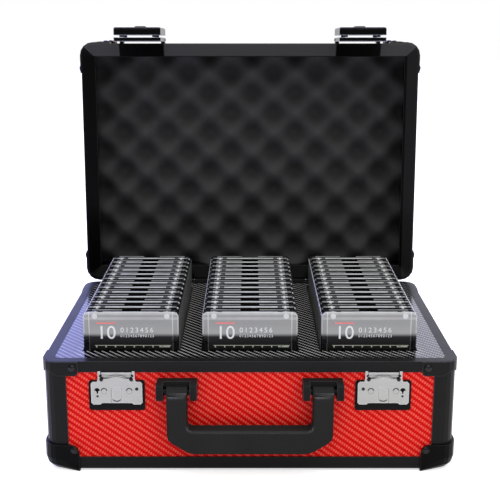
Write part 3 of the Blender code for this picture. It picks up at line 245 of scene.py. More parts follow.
def half_place(start, half):
    """Object coordinates, those of the lid turned back to its closed place."""
    place, axes = object_place(start)
    if half == "lid":
        back, up = axes[1] - hinge_y, axes[2] - hinge_z
        closed_y = back * turn_cos - up * turn_sin + hinge_y
        axes = [axes[0], closed_y, back * turn_sin + up * turn_cos + hinge_z]
    return place, axes


def half_wave(share):
    """0 at both edges of a thread and 1 along its middle."""
    return (share * math.pi).math("SINE")


def outer_skin(axes, half):
    """1 on the wrapped outer faces of a half, 0 on the raw inside and behind the locks."""
    skin = abs(axes[0]).ease(0.1706, 0.1708)
    skin = skin.math("MAXIMUM", abs(axes[1]).ease(0.1211, 0.1213))
    if half == "lid":
        return skin.math("MAXIMUM", axes[2].ease(0.1612, 0.1614))
    skin = skin.math("MAXIMUM", 1 - axes[2].ease(0.0002, 0.0004))
    beside_lock = abs(abs(axes[0]) - lock_middle).ease(0.0138, 0.0140)
    over_lock = axes[2].ease(0.0846, 0.0848)
    under_lock = 1 - axes[2].ease(0.0585, 0.0587)
    return skin * (beside_lock + over_lock + under_lock).math("MINIMUM", 1.0)


def vinyl_finish(name, half, across_axis, along_axis):
    """Rope-like rows of short floats, each column of threads stepping down from the one before."""
    thread, step, period, lean = 0.00206, 0.001345, 0.00519, 0.144
    raw_board, dark_red = (0.006, 0.006, 0.0065, 1), (0.47, 0.0008, 0.0012, 1)
    mid_red, pale_red = (0.65, 0.003, 0.004, 1), (0.68, 0.088, 0.056, 1)
    material, start = start_finish(name)
    place, axes = half_place(start, half)
    along = axes[along_axis]
    columns = (axes[across_axis] - along * lean) / thread
    stepped = along + columns.math("FLOOR") * step
    in_row = (stepped / period).math("FRACT")
    float_on = in_row.band(0.02, 0.14, 0.50, 0.62)
    height = float_on * (0.45 + 0.55 * half_wave(columns.math("FRACT")))
    weft = (1 - float_on) * half_wave((stepped / (period / 4)).math("FRACT"))
    patches = (noise(start, place, 38.0, 3.0) - 0.5) * 0.25
    fray = (noise(start, place, 620.0) - 0.5) * 0.5
    low = (height * 1.6 + weft * 0.3 + fray).ease(0.0, 1.0).tint(dark_red, mid_red)
    colour = (height + patches + fray).ease(0.45, 0.95).tint(low, pale_red)
    skin = outer_skin(axes, half)
    scuffs = noise(start, place, 240.0, 4.0)
    close_finish(start, {
        "Base Color": skin.tint(raw_board, colour), "Roughness": 0.34 + 0.22 * scuffs,
        "Normal": relief(start, (height + weft * 0.25) * skin, 0.45, 0.0004),
        "Specular IOR Level": 0.07,
    })
    return material


def put(node, material):
    nodes[node].data.materials.clear()
    nodes[node].data.materials.append(material)


boards = {
    "front": (0, 2), "back": (0, 2), "left": (1, 2), "right": (1, 2), "floor": (0, 1),
    "top": (0, 1),
}
for half in ("base", "lid"):
    finishes = {}
    for axes in set(boards.values()):
        finishes[axes] = vinyl_finish(f"{half}_vinyl_{axes[0]}{axes[1]}", half, *axes)
    for board, axes in boards.items():
        if f"{half}_{board}_panel" in nodes:
            put(f"{half}_{board}_panel", finishes[axes])


# Frame of each half: the rim extrusion with its posts and corner plates, four rails and four ball
# corners. They are black-painted aluminium and pressed steel, satin on the faces, paler along the
# edges from wear and from a painted highlight, and held together by rivets.
def opaque(colour, factor=1.0):
    """A colour with its alpha, made lighter or darker by a factor."""
    return tuple(c * factor for c in colour) + (1,)


def off_flat(start, radius):
    """How far the rounded edge turns away from the flat face."""
    rounded = start.add("ShaderNodeBevel", {"samples": 6}, {"Radius": radius})
    flat = start.add("ShaderNodeNewGeometry", None, None, output=1)
    vectors = {0: rounded, 1: flat}
    same = start.add("ShaderNodeVectorMath", {"operation": "DOT_PRODUCT"}, vectors, output=1)
    return (1 - same).ease(0.01, 0.12)


def metal_finish(
    name, colour, rough, grain, edge=0.0, shine=0.5, wear_and_highlight=(0.10, 0.10, 0.11), painted_light_patch=None,
):
    """Painted metal: fine speckle, streaks along the grain, an edge paler from wear and from a
    painted highlight, perhaps a patch of painted light.
    """
    material, start = start_finish(name)
    place = object_place(start)[0]
    stretched = start.add("ShaderNodeMapping", None, {"Vector": place, "Scale": grain})
    streaks = noise(start, stretched, 12.0, 5.0)
    speckle = noise(start, place, 900.0)
    smears = noise(start, place, 22.0, 3.0)
    tone = (streaks * 0.5 + smears * 0.5).tint(opaque(colour, 0.75), opaque(colour, 1.3))
    if edge:
        # Paler edges, partly wear and partly a painted highlight.
        worn_and_highlit = off_flat(start, 0.0009) * (0.5 + 0.8 * streaks) * edge
        tone = worn_and_highlit.tint(tone, opaque(wear_and_highlight))
    if painted_light_patch:
        share, other = painted_light_patch(start)
        tone = share.tint(tone, other)
    close_finish(start, {
        "Base Color": tone, "Roughness": rough - 0.06 + 0.14 * smears,
        "Normal": relief(start, speckle, 0.08, 0.0002), "Specular IOR Level": shine,
    })
    return material


def painted_shadow_over_keepers(start):
    """Painted shadow: a dark line under the rim's edge, over each keeper."""
    axes = half_place(start, "base")[1]
    beside = abs(abs(axes[0]) - lock_middle).ease(0.0145, 0.0150)
    return (1 - beside) * (1 - axes[2].ease(0.0862, 0.0866)), grey(0.0)


def painted_reflection_top_bar(start):
    """Painted reflection that makes the hasps' bar of the lid's rim paler than the other three."""
    axes = half_place(start, "lid")[1]
    bar_end, bar_inner_y, hasp_middle = 0.1605, 0.1100, 0.1108
    aside = abs(axes[0])
    mitre = (bar_end - bar_inner_y - axes[1] - aside).ease(0.0, 0.0008)
    under_hasp = 1 - abs(aside - hasp_middle).ease(0.0222, 0.0236)
    share = (1 - axes[1].ease(-0.1108, -0.1098)) * mitre * (1 - under_hasp)
    right_bar = axes[0].ease(0.1610, 0.1618) * (1 - mitre) * 0.22
    return share + right_bar, grey(0.040)


grain_along_x, grain_even = (1, 14, 14), (10, 10, 10)
frame_black = metal_finish(
    "frame_black", (0.0064, 0.0064, 0.0060), 0.34, grain_along_x, 0.4, 0.08, painted_light_patch=painted_shadow_over_keepers,
)
lid_frame_black = metal_finish(
    "lid_frame_black", (0.0013, 0.0013, 0.0013), 0.16, grain_along_x, 0.6, 0.03, (0.06, 0.06, 0.06),
    painted_reflection_top_bar,
)
cap_black = metal_finish("cap_black", (0.0018, 0.0018, 0.0018), 0.34, grain_even, 0.22, 0.04)
rail_black = metal_finish("rail_black", (0.0080, 0.0080, 0.0078), 0.42, grain_along_x, 0.25, 0.06)
put("base_frame", frame_black)
put("lid_frame", lid_frame_black)
for half in ("base", "lid"):
    for side in ("front", "back", "left", "right"):
        put(f"{half}_rail_{side}", rail_black)
    for corner in ("front_left", "front_right", "back_left", "back_right"):
        put(f"{half}_cap_{corner}", cap_black)


# Rivets of the caps and the rim's corner plates: domed steel heads in black. Their smooth heads
# cover the plain ones of the frame.
def start_tree(name, inputs):
    """A geometry tree with named inputs, and its first and last node."""
    tree = bpy.data.node_groups.new(name, "GeometryNodeTree")
    for socket, kind in inputs:
        tree.interface.new_socket(socket, in_out="INPUT", socket_type="NodeSocket" + kind)
    tree.interface.new_socket("Geometry", in_out="OUTPUT", socket_type="NodeSocketGeometry")
    return tree, tree.nodes.new("NodeGroupInput"), tree.nodes.new("NodeGroupOutput")


def join(tree, *links):
    """Links nodes. Each link is a node, its output, the next node and that one's input."""
    for first, output, second, socket in links:
        tree.links.new(first.outputs[output], second.inputs[socket])


def rivet_tree():
    """Rivet heads on a set of points, each turned along the point's stored direction."""
    tree, inputs, output = start_tree("rivet_heads", (
        ("Geometry", "Geometry"), ("Head Radius", "Float"), ("Head Height", "Float"),
        ("Paint", "Material"),
    ))
    add = tree.nodes.new
    dome = add("GeometryNodeMeshUVSphere")
    dome.inputs["Segments"].default_value = 20
    dome.inputs["Rings"].default_value = 10
    size = add("ShaderNodeCombineXYZ")
    shape = add("GeometryNodeTransform")
    towards = add("GeometryNodeInputNamedAttribute")
    towards.data_type = "FLOAT_VECTOR"
    towards.inputs["Name"].default_value = "outward"
    turn = add("FunctionNodeAlignRotationToVector")
    turn.axis = "Z"
    spread = add("GeometryNodeInstanceOnPoints")
    smooth = add("GeometryNodeSetShadeSmooth")
    real = add("GeometryNodeRealizeInstances")
    paint = add("GeometryNodeSetMaterial")
    join(
        tree, (inputs, "Head Radius", size, "X"), (inputs, "Head Radius", size, "Y"),
        (inputs, "Head Height", size, "Z"), (dome, "Mesh", shape, "Geometry"),
        (size, 0, shape, "Scale"), (inputs, "Geometry", spread, "Points"),
        (shape, 0, spread, "Instance"), (towards, 0, turn, "Vector"),
        (turn, 0, spread, "Rotation"), (spread, 0, real, 0), (real, 0, smooth, 0),
        (smooth, 0, paint, "Geometry"), (inputs, "Paint", paint, "Material"),
        (paint, 0, output, 0),
    )
    return tree


def grow(name, mesh, tree, settings):
    """Runs a geometry tree on a mesh and keeps the result as a plain piece."""
    seed = bpy.data.objects.new(name + "_seed", mesh)
    scene.collection.objects.link(seed)
    modifier = seed.modifiers.new("grow", "NODES")
    modifier.node_group = tree
    for item in tree.interface.items_tree:
        if item.item_type == "SOCKET" and item.in_out == "INPUT" and item.name in settings:
            modifier[item.identifier] = settings[item.name]
    bpy.context.view_layer.update()
    ready = seed.evaluated_get(bpy.context.evaluated_depsgraph_get())
    plain = bpy.data.meshes.new_from_object(ready)
    bpy.data.objects.remove(seed)
    piece = bpy.data.objects.new(name, plain)
    scene.collection.objects.link(piece)
    return piece


def points_with_outward(name, places):
    """Bare points, each with the direction that its rivet faces."""
    mesh = bpy.data.meshes.new(name)
    mesh.from_pydata([point for point, _ in places], [], [])
    outward = mesh.attributes.new("outward", "FLOAT_VECTOR", "POINT")
    outward.data.foreach_set("vector", [c for _, facing in places for c in facing])
    return mesh


rivet_paint = metal_finish("rivet_paint", (0.0022, 0.0022, 0.0022), 0.20, (20, 20, 20), 0.0, 0.22)
heads = rivet_tree()
half_x, half_y = 0.1725, 0.123
plate_inset, plate_proud = 0.0250, 0.0013
cap_inset, cap_proud = 0.0242, 0.0019
base_rivets, lid_rivets = [], []
for sx in (-1, 1):
    for sy in (-1, 1):
        for inset, proud, z_closed, group in (
            (plate_inset, plate_proud, 0.0890, "base"), (cap_inset, cap_proud, 0.0157, "base"),
            (plate_inset, plate_proud, 0.1006, "lid"), (cap_inset, cap_proud, 0.1437, "lid"),
        ):
            front = ((sx * (half_x - inset), sy * (half_y + proud), z_closed), (0, sy, 0))
            flank = ((sx * (half_x + proud), sy * (half_y - inset), z_closed), (sx, 0, 0))
            for place, outward in (front, flank):
                if group == "base":
                    base_rivets.append((place, outward))
                else:
                    turned = (outward[0], outward[1] * turn_cos, -outward[1] * turn_sin)
                    lid_rivets.append((open_up(*place), turned))
for body, places in (("base", base_rivets), ("lid", lid_rivets)):
    rivets = grow(
        body + "_rivet_heads", points_with_outward(body + "_rivet_points", places), heads,
        {"Head Radius": 0.0034, "Head Height": 0.0018, "Paint": rivet_paint},
    )
    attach(rivets, body)


# Foam block with the three wells, and the pad under them. Both are charcoal open-cell foam, cut by
# a die and laid loose in the base.
def foam_finish(name, peak, pit):
    material, start = start_finish(name)
    place = object_place(start)[0]
    cells = start.add("ShaderNodeTexVoronoi", None, {"Vector": place, "Scale": 1500.0})
    fluff = noise(start, place, 260.0, 6.0, 0.7)
    clouds = noise(start, place, 28.0, 4.0)
    close_finish(start, {
        "Base Color": (fluff * 0.45 + clouds * 0.55).tint(opaque(pit), opaque(peak)),
        "Roughness": 0.9 + 0.1 * fluff, "Specular IOR Level": 0.2,
        "Normal": relief(start, cells * 0.6 + fluff, 0.35, 0.0006),
    })
    return material


def piece_from(name, bm, material, smooth=True):
    bmesh.ops.recalc_face_normals(bm, faces=bm.faces)
    mesh = bpy.data.meshes.new(name)
    bm.to_mesh(mesh)
    bm.free()
    mesh.polygons.foreach_set("use_smooth", [smooth] * len(mesh.polygons))
    if smooth:
        mesh.set_sharp_from_angle(angle=math.radians(40))
    mesh.materials.append(material)
    piece = bpy.data.objects.new(name, mesh)
    scene.collection.objects.link(piece)
    return piece


def merged_copy(node):
    """A bmesh of a frame solid with its loose triangles joined up."""
    bm = bmesh.new()
    bm.from_mesh(nodes[node].data)
    bmesh.ops.remove_doubles(bm, verts=bm.verts, dist=1e-6)
    bmesh.ops.dissolve_limit(bm, angle_limit=math.radians(1), verts=bm.verts, edges=bm.edges)
    return bm


block_foam = foam_finish("block_foam", (0.022, 0.022, 0.024), (0.012, 0.012, 0.013))
soft_edge, corner_angle = 0.0004, 0.7
for node, fill in (("foam_block", 1.0), ("floor_pad", 1.0)):
    block = merged_copy(node)
    corners = [e for e in block.edges if e.is_manifold and e.calc_face_angle(0) > corner_angle]
    bmesh.ops.bevel(
        block, geom=corners, offset=soft_edge, segments=1, affect="EDGES", clamp_overlap=True,
    )
    bmesh.ops.triangulate(block, faces=block.faces)
    piece = piece_from(node + "_cut", block, block_foam)
    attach(piece, "base")
    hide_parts(node)


# Deck sheet round the wells: thin board faced with a black woven-look film, dropped on the foam
# block inside the rim. Its twill runs at forty-five degrees and shows as fine pale lines.
def deck_finish(name):
    """The film's twill, its lines darkened by painted shade along the front and both sides."""
    thread, step, period = 0.00162, 0.001817, 0.00729
    middle, front_painted_shade, side_painted_shade = (0.48, 0.48, 0.475, 1), grey(0.12), grey(0.25)
    material, start = start_finish(name)
    place, axes = object_place(start)
    columns = axes[0] / thread
    in_row = ((axes[1] + columns.math("FLOOR") * step) / period).math("FRACT")
    float_on = in_row.band(0.0, 0.09, 0.21, 0.30)
    height = float_on * (0.55 + 0.45 * half_wave(columns.math("FRACT")))
    patches = noise(start, place, 20.0, 3.0)
    # Painted shade: the pale lines are darker along the front and both sides.
    at_front = 1 - axes[1].ease(-0.112, -0.106)
    at_side = abs(axes[0]).ease(0.142, 0.150)
    pale = at_side.tint(at_front.tint(middle, front_painted_shade), side_painted_shade)
    close_finish(start, {
        "Base Color": (height * (0.85 + 0.3 * patches)).tint(grey(0.0004), pale),
        "Roughness": 0.13 + 0.04 * patches, "Normal": relief(start, height, 0.12, 0.0002),
        "Specular IOR Level": 0.3,
    })
    return material


put("deck_sheet", deck_finish("deck_twill"))


# Card holders. Each is two clear shells closed on a dark seam, with an inner frame, round bosses
# and a card in it. Thirteen stand in each row, in a shallow tray at the foot of the well.
holder_half, holder_pitch, holder_count = 0.0406, 0.0154, 13
row_pitch = 0.1011
row_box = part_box("card_holders_middle")
holder_low, holder_top = 0.0113, row_box[1].z
row_front = row_box[0].y + 0.0005


def round_corner_outline(half, low, top, radius, steps=5):
    """A plate's outline, square at the foot and round at its two top corners."""
    points = [(-half, low), (half, low)]
    for side, first_turn in ((1, 0), (-1, 1)):
        for i in range(steps + 1):
            angle = math.pi / 2 * (first_turn + i / steps)
            across = side * (half - radius) + radius * math.cos(angle)
            points.append((across, top - radius + radius * math.sin(angle)))
    return points


def shell_outline(inset):
    top, radius = holder_top - inset, 0.0045 - inset
    return round_corner_outline(holder_half - inset, holder_low + inset, top, radius)


def notched_outline(inset):
    """The back shell's outline, with a shallow thumb notch in the middle of its top edge."""
    outline = shell_outline(inset)
    top, depth, upper_half, lower_half = holder_top - inset, 0.0022, 0.0082, 0.0076
    right = [(upper_half, top), (lower_half, top - depth)]
    left = [(-lower_half, top - depth), (-upper_half, top)]
    return outline[:8] + right + left + outline[8:]


def core_outline(inset):
    low, top = holder_low + 0.002, holder_top - 0.0022
    return round_corner_outline(holder_half - 0.0016, low, top, 0.0035)


def add_plate(bm, outline, stations, slot_index):
    """A closed plate through outlines at several depths. Each station is a depth and an inset."""
    loops = [[bm.verts.new((x, y, z)) for x, z in outline(inset)] for y, inset in stations]
    faces = []
    for loop, following in zip(loops, loops[1:]):
        for i in range(len(loop)):
            j = (i + 1) % len(loop)
            faces.append(bm.faces.new((loop[i], loop[j], following[j], following[i])))
    faces += [bm.faces.new(loops[0][::-1]), bm.faces.new(loops[-1])]
    for face in faces:
        face.material_index = slot_index


def add_disc(bm, x, z, y0, y1, radius, slot_index, sides=14):
    def circle(inset):
        turns = [math.tau * i / sides for i in range(sides)]
        left = radius - inset
        return [(x + left * math.cos(turn), z + left * math.sin(turn)) for turn in turns]

    bevel = 0.0004
    stations = ((y0, bevel), (y0 + bevel, 0), (y1 - bevel, 0), (y1, bevel))
    add_plate(bm, circle, stations, slot_index)


def add_block(bm, x0, x1, y0, y1, z0, z1, slot_index):
    corners = [(x0, z0), (x1, z0), (x1, z1), (x0, z1)]
    add_plate(bm, lambda inset: corners, ((y0, 0), (y1, 0)), slot_index)


SHELL, CARD, BOSS = range(3)
front_shell = ((0.0, 0.0008), (0.0008, 0.0), (0.0030, 0.0), (0.0034, 0.0005))
back_shell = ((0.0071, 0.0005), (0.0075, 0.0), (0.0097, 0.0), (0.0105, 0.0008))
holder = bmesh.new()
add_plate(holder, shell_outline, front_shell, SHELL)
add_plate(holder, notched_outline, back_shell, SHELL)
add_plate(holder, core_outline, ((0.0034, 0), (0.0071, 0)), CARD)
for side in (-1, 1):
    for across, drop, y0, y1, radius, sides in (
        (0.0306, 0.0034, -0.0003, 0.0036, 0.0025, 14),
        (0.0306, 0.0016, 0.0036, 0.0070, 0.0012, 10),
        (0.0387, 0.0016, -0.0003, 0.0036, 0.0006, 10),
    ):
        add_disc(holder, side * across, holder_top - drop, y0, y1, radius, BOSS, sides)
bmesh.ops.recalc_face_normals(holder, faces=holder.faces)
holder_data = bpy.data.meshes.new("holder")
holder.to_mesh(holder_data)
holder.free()


def across_row(axes):
    """The distance from the middle of a row, to its left or right, the same for each row."""
    shifted = (axes[0] + row_pitch * 1.5) / row_pitch
    return shifted.math("FRACT") * row_pitch - row_pitch / 2


def milk_share(axes):
    """How far the front holder's plastic looks milky: full at its top, nothing at its foot."""
    return axes[2].ease(0.1064, 0.1106)


def holder_finish(name, part):
    """Clear plastic: walls in painted shade, near black, and edges in painted highlight."""
    material, start = start_finish(name)
    place, axes = object_place(start)
    haze = noise(start, place, 120.0, 4.0)
    stretched = start.add("ShaderNodeMapping", None, {"Vector": place, "Scale": (6, 60, 200)})
    scratches = noise(start, stretched, 20.0)
    to_right = across_row(axes)
    from_middle = abs(to_right)
    on_right = to_right.ease(-0.001, 0.001)
    into_holder = ((axes[1] - row_front) / holder_pitch).math("FRACT") * holder_pitch
    in_back_shell = into_holder.band(0.0050, 0.0052, 0.0125, 0.0130)

    def near_top(first_depth, full_depth):
        """Grows from one depth under the holder's top edge to a lesser one."""
        return axes[2].ease(holder_top - first_depth, holder_top - full_depth)

    # Top edges: a painted highlight, dimmed by painted shade on the back shell and at each end.
    top_edge = near_top(0.0006, 0.0002)
    shaded_ends = from_middle.band(0.0334, 0.0339, 0.0394, 0.0398)
    # The walls are painted near black, a painted shade seen through the clear plastic.
    shade_through_wall = haze.tint(grey(0.0015), grey(0.012))
    side_wall = scratches.tint((0.055, 0.057, 0.053, 1), (0.170, 0.173, 0.166, 1))
    body = from_middle.ease(0.0400, 0.0404).tint(shade_through_wall, side_wall)
    edge = scratches.tint((0.19, 0.193, 0.190, 1), (0.66, 0.67, 0.655, 1))
    edge = (in_back_shell * (0.52 + 0.5 * haze)).tint(edge, (0.075, 0.076, 0.074, 1))
    edge = (shaded_ends * (0.62 + 0.38 * in_back_shell)).tint(edge, (0.006, 0.006, 0.007, 1))
    tone = top_edge.tint(body, edge)

    # Painted glow of the bosses through the front shell, with painted shade beside each.
    boss_painted_glow = from_middle.band(0.0293, 0.0297, 0.0312, 0.0316) * (1.0 + 0.5 * haze)
    between_shells = into_holder.ease(0.0040, 0.0050) * (1 - into_holder.ease(0.0150, 0.0153))
    boss_painted_glow = boss_painted_glow * (1 - between_shells)
    boss_painted_shade = from_middle.band(0.0236, 0.0240, 0.0276, 0.0280) * (1 - in_back_shell)
    tone = (boss_painted_shade * 0.8).tint(tone, grey(0.006))
    painted_glow = boss_painted_glow * near_top(0.0055, 0.0035)
    tone = painted_glow.math("MINIMUM", 1.0).tint(tone, (0.55, 0.55, 0.545, 1))

    # Painted highlights down the outermost flanks and each left flank, a glint at each right end.
    outermost = abs(axes[0]).ease(0.1401, 0.1405) * near_top(0.0075, 0.0065)
    left_line = (1 - on_right) * from_middle.ease(0.0398, 0.0401) * near_top(0.0050, 0.0040)
    painted_glint = on_right * from_middle.band(0.0380, 0.0386, 0.0392, 0.0398)
    painted_glint = painted_glint * (1 - into_holder.ease(0.0022, 0.0030)) * near_top(0.0022, 0.0012)
    painted_highlights = (outermost + left_line + painted_glint).math("MINIMUM", 1.0)
    tone = painted_highlights.tint(tone, (0.72, 0.72, 0.80, 1))

    # Front of the first holder: milky above, black at the foot, with a frame line near each side.
    front = 1 - axes[1].ease(row_front + 0.0012, row_front + 0.0016)
    bands = axes[2].band(0.1216, 0.1222, 0.1238, 0.1246) + axes[2].ease(0.1256, 0.1264)
    bands = bands * (0.75 + 0.5 * (haze - 0.5))
    milk = bands.tint((0.318, 0.318, 0.310, 1), (0.455, 0.457, 0.445, 1))
    inner_line = from_middle.band(0.0350, 0.0352, 0.0357, 0.0360)
    outer_line = from_middle.ease(0.0392, 0.0396)
    milk = (inner_line + outer_line * 0.5).math("MINIMUM", 1.0).tint(milk, grey(0.60))
    foot = (inner_line * 0.5).tint(grey(0.003), grey(0.12))
    tone = front.tint(tone, milk_share(axes).tint(foot, milk))

    sockets = {
        "Base Color": tone, "Roughness": 0.12 + 0.10 * scratches, "Specular IOR Level": 0.15,
        "Normal": relief(start, haze, 0.04, 0.0005),
        "Alpha": (0.80 + 0.12 * haze + top_edge * 0.1).math("MINIMUM", 1.0),
    }
    if part == "boss":
        # The bosses' front faces are painted pale, a painted highlight.
        on_front = 1 - axes[1].ease(row_front + 0.0001, row_front + 0.0003)
        dull = scratches.tint(grey(0.02), (0.36, 0.36, 0.355, 1))
        sockets["Base Color"] = on_front.tint(dull, (0.62, 0.625, 0.615, 1))
    if part == "card":
        sockets["Base Color"] = haze.tint(grey(0.002), grey(0.010))
        sockets["Alpha"] = 1.0
    close_finish(start, sockets)
    return material


for part in ("shell", "card", "boss"):
    holder_data.materials.append(holder_finish("holder_" + part, part))


def row_tree():
    """A row of copies of one mesh at an even pitch, with the outer plastic set again at the end."""
    tree, inputs, output = start_tree("holder_row", (
        ("Geometry", "Geometry"), ("Holders", "Int"), ("First Place", "Vector"),
        ("Pitch", "Vector"), ("Plastic", "Material"),
    ))
    add = tree.nodes.new
    line = add("GeometryNodeMeshLine")
    spread = add("GeometryNodeInstanceOnPoints")
    real = add("GeometryNodeRealizeInstances")
    is_plastic = add("GeometryNodeMaterialSelection")
    paint = add("GeometryNodeSetMaterial")
    join(
        tree, (inputs, "Holders", line, "Count"), (inputs, "First Place", line, "Start Location"),
        (inputs, "Pitch", line, "Offset"), (line, 0, spread, "Points"),
        (inputs, "Geometry", spread, "Instance"), (spread, 0, real, 0),
        (real, 0, paint, "Geometry"), (inputs, "Plastic", is_plastic, "Material"),
        (is_plastic, 0, paint, "Selection"), (inputs, "Plastic", paint, "Material"),
        (paint, 0, output, 0),
    )
    return tree


rows = row_tree()
tray_height = 0.008
for row in ("left", "middle", "right"):
    low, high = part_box("card_holders_" + row)
    first_place = ((low.x + high.x) / 2, row_front, 0.0)
    piece = grow("card_holder_row_" + row, holder_data.copy(), rows, {
        "Holders": holder_count, "First Place": first_place, "Pitch": (0.0, holder_pitch, 0.0),
        "Plastic": holder_data.materials[SHELL],
    })
    tray = bmesh.new()
    add_block(tray, low.x, high.x, low.y, high.y, low.z, low.z + tray_height, SHELL)
    tray_piece = piece_from("card_holder_tray_" + row, tray, holder_data.materials[BOSS])
    for item in (piece, tray_piece):
        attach(item, "row_" + row)
    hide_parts("card_holders_" + row)


# Labels of the front holders: a printed card behind the clear front, grey with a dark foot. It
# carries a number under a red rule and two lines of small figures, made here as thin raised ink.
def label_finish(name):
    material, start = start_finish(name)
    place, axes = object_place(start)
    grain = noise(start, place, 700.0, 3.0)
    shade = axes[2].ease(0.1080, 0.1205).tint((0.335, 0.334, 0.325, 1), (0.262, 0.264, 0.260, 1))
    foot = grain.tint(grey(0.0008), grey(0.0026))
    close_finish(start, {
        "Base Color": milk_share(axes).tint(foot, shade), "Roughness": 0.3 + 0.1 * grain,
        "Normal": relief(start, grain, 0.05, 0.0002), "Specular IOR Level": 0.2,
    })
    return material


def ink_finish(name, colour):
    material, start = start_finish(name)
    grain = noise(start, object_place(start)[0], 900.0, 3.0)
    close_finish(start, {
        "Base Color": grain.tint(opaque(colour, 0.85), opaque(colour)),
        "Roughness": 0.4 + 0.15 * grain, "Specular IOR Level": 0.2,
    })
    return material


def printed_figures(name, figures, height, spacing, place, ink):
    """Plain figures as thin raised ink, standing upright at a place."""
    text = bpy.data.curves.new(name, "FONT")
    text.body = figures
    text.size = height
    text.extrude = 0.00015
    text.space_character = spacing
    curve = bpy.data.objects.new(name + "_curve", text)
    scene.collection.objects.link(curve)
    bpy.context.view_layer.update()
    ready = curve.evaluated_get(bpy.context.evaluated_depsgraph_get())
    mesh = bpy.data.meshes.new_from_object(ready)
    bpy.data.objects.remove(curve)
    mesh.transform(Matrix.Translation(place) @ Matrix.Rotation(math.pi / 2, 4, "X"))
    mesh.materials.clear()
    mesh.materials.append(ink)
    piece = bpy.data.objects.new(name, mesh)
    scene.collection.objects.link(piece)
    return piece


PAPER, WHITE, RED, STRIP = range(4)
label_card = label_finish("label_card")
white_ink = ink_finish("white_ink", (0.74, 0.75, 0.75))
red_ink = ink_finish("red_ink", (0.78, 0.22, 0.22))
strip_clear = ink_finish("strip_clear", (0.42, 0.44, 0.36))
strip_low, strip_middle, strip_high, tooth_count = 0.0974, 0.0990, 0.0994, 8
for row in ("left", "middle", "right"):
    low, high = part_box("holder_label_" + row)
    centre, face = (low.x + high.x) / 2, row_front - 0.0004
    label = bmesh.new()
    back, front = row_front + 0.0006, row_front - 0.0002
    add_block(label, low.x, high.x, front, back, low.z, high.z, PAPER)
    marks = [
        (-0.0290, -0.0130, 0.1184, 0.1196, RED),
        (-0.0310, 0.0340, strip_middle, strip_high, STRIP),
    ]
    for i in range(tooth_count):
        tooth = -0.0300 + 0.0080 * i
        marks.append((tooth, tooth + 0.0010, strip_low, strip_middle, STRIP))
    marks.append((0.0240, 0.0330, 0.0976, 0.0992, STRIP))
    for left, right, foot, head, slot_index in marks:
        add_block(label, centre + left, centre + right, face, row_front, foot, head, slot_index)
    piece = piece_from("row_label_" + row, label, label_card, False)
    for ink in (white_ink, red_ink, strip_clear):
        piece.data.materials.append(ink)
    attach(piece, "row_" + row)
    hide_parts("holder_label_" + row)
    for name, figures, size, spacing, shift, up in (
        ("label_number_", "10", 0.0165, 1.0, -0.0290, 0.1052),
        ("label_line_", "0123456", 0.0062, 1.35, -0.0090, 0.1108),
        ("label_small_line_", "01234567890123", 0.0034, 1.22, -0.0090, 0.1066),
    ):
        place = (centre + shift, face, up)
        piece = printed_figures(name + row, figures, size, spacing, place, white_ink)
        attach(piece, "row_" + row)


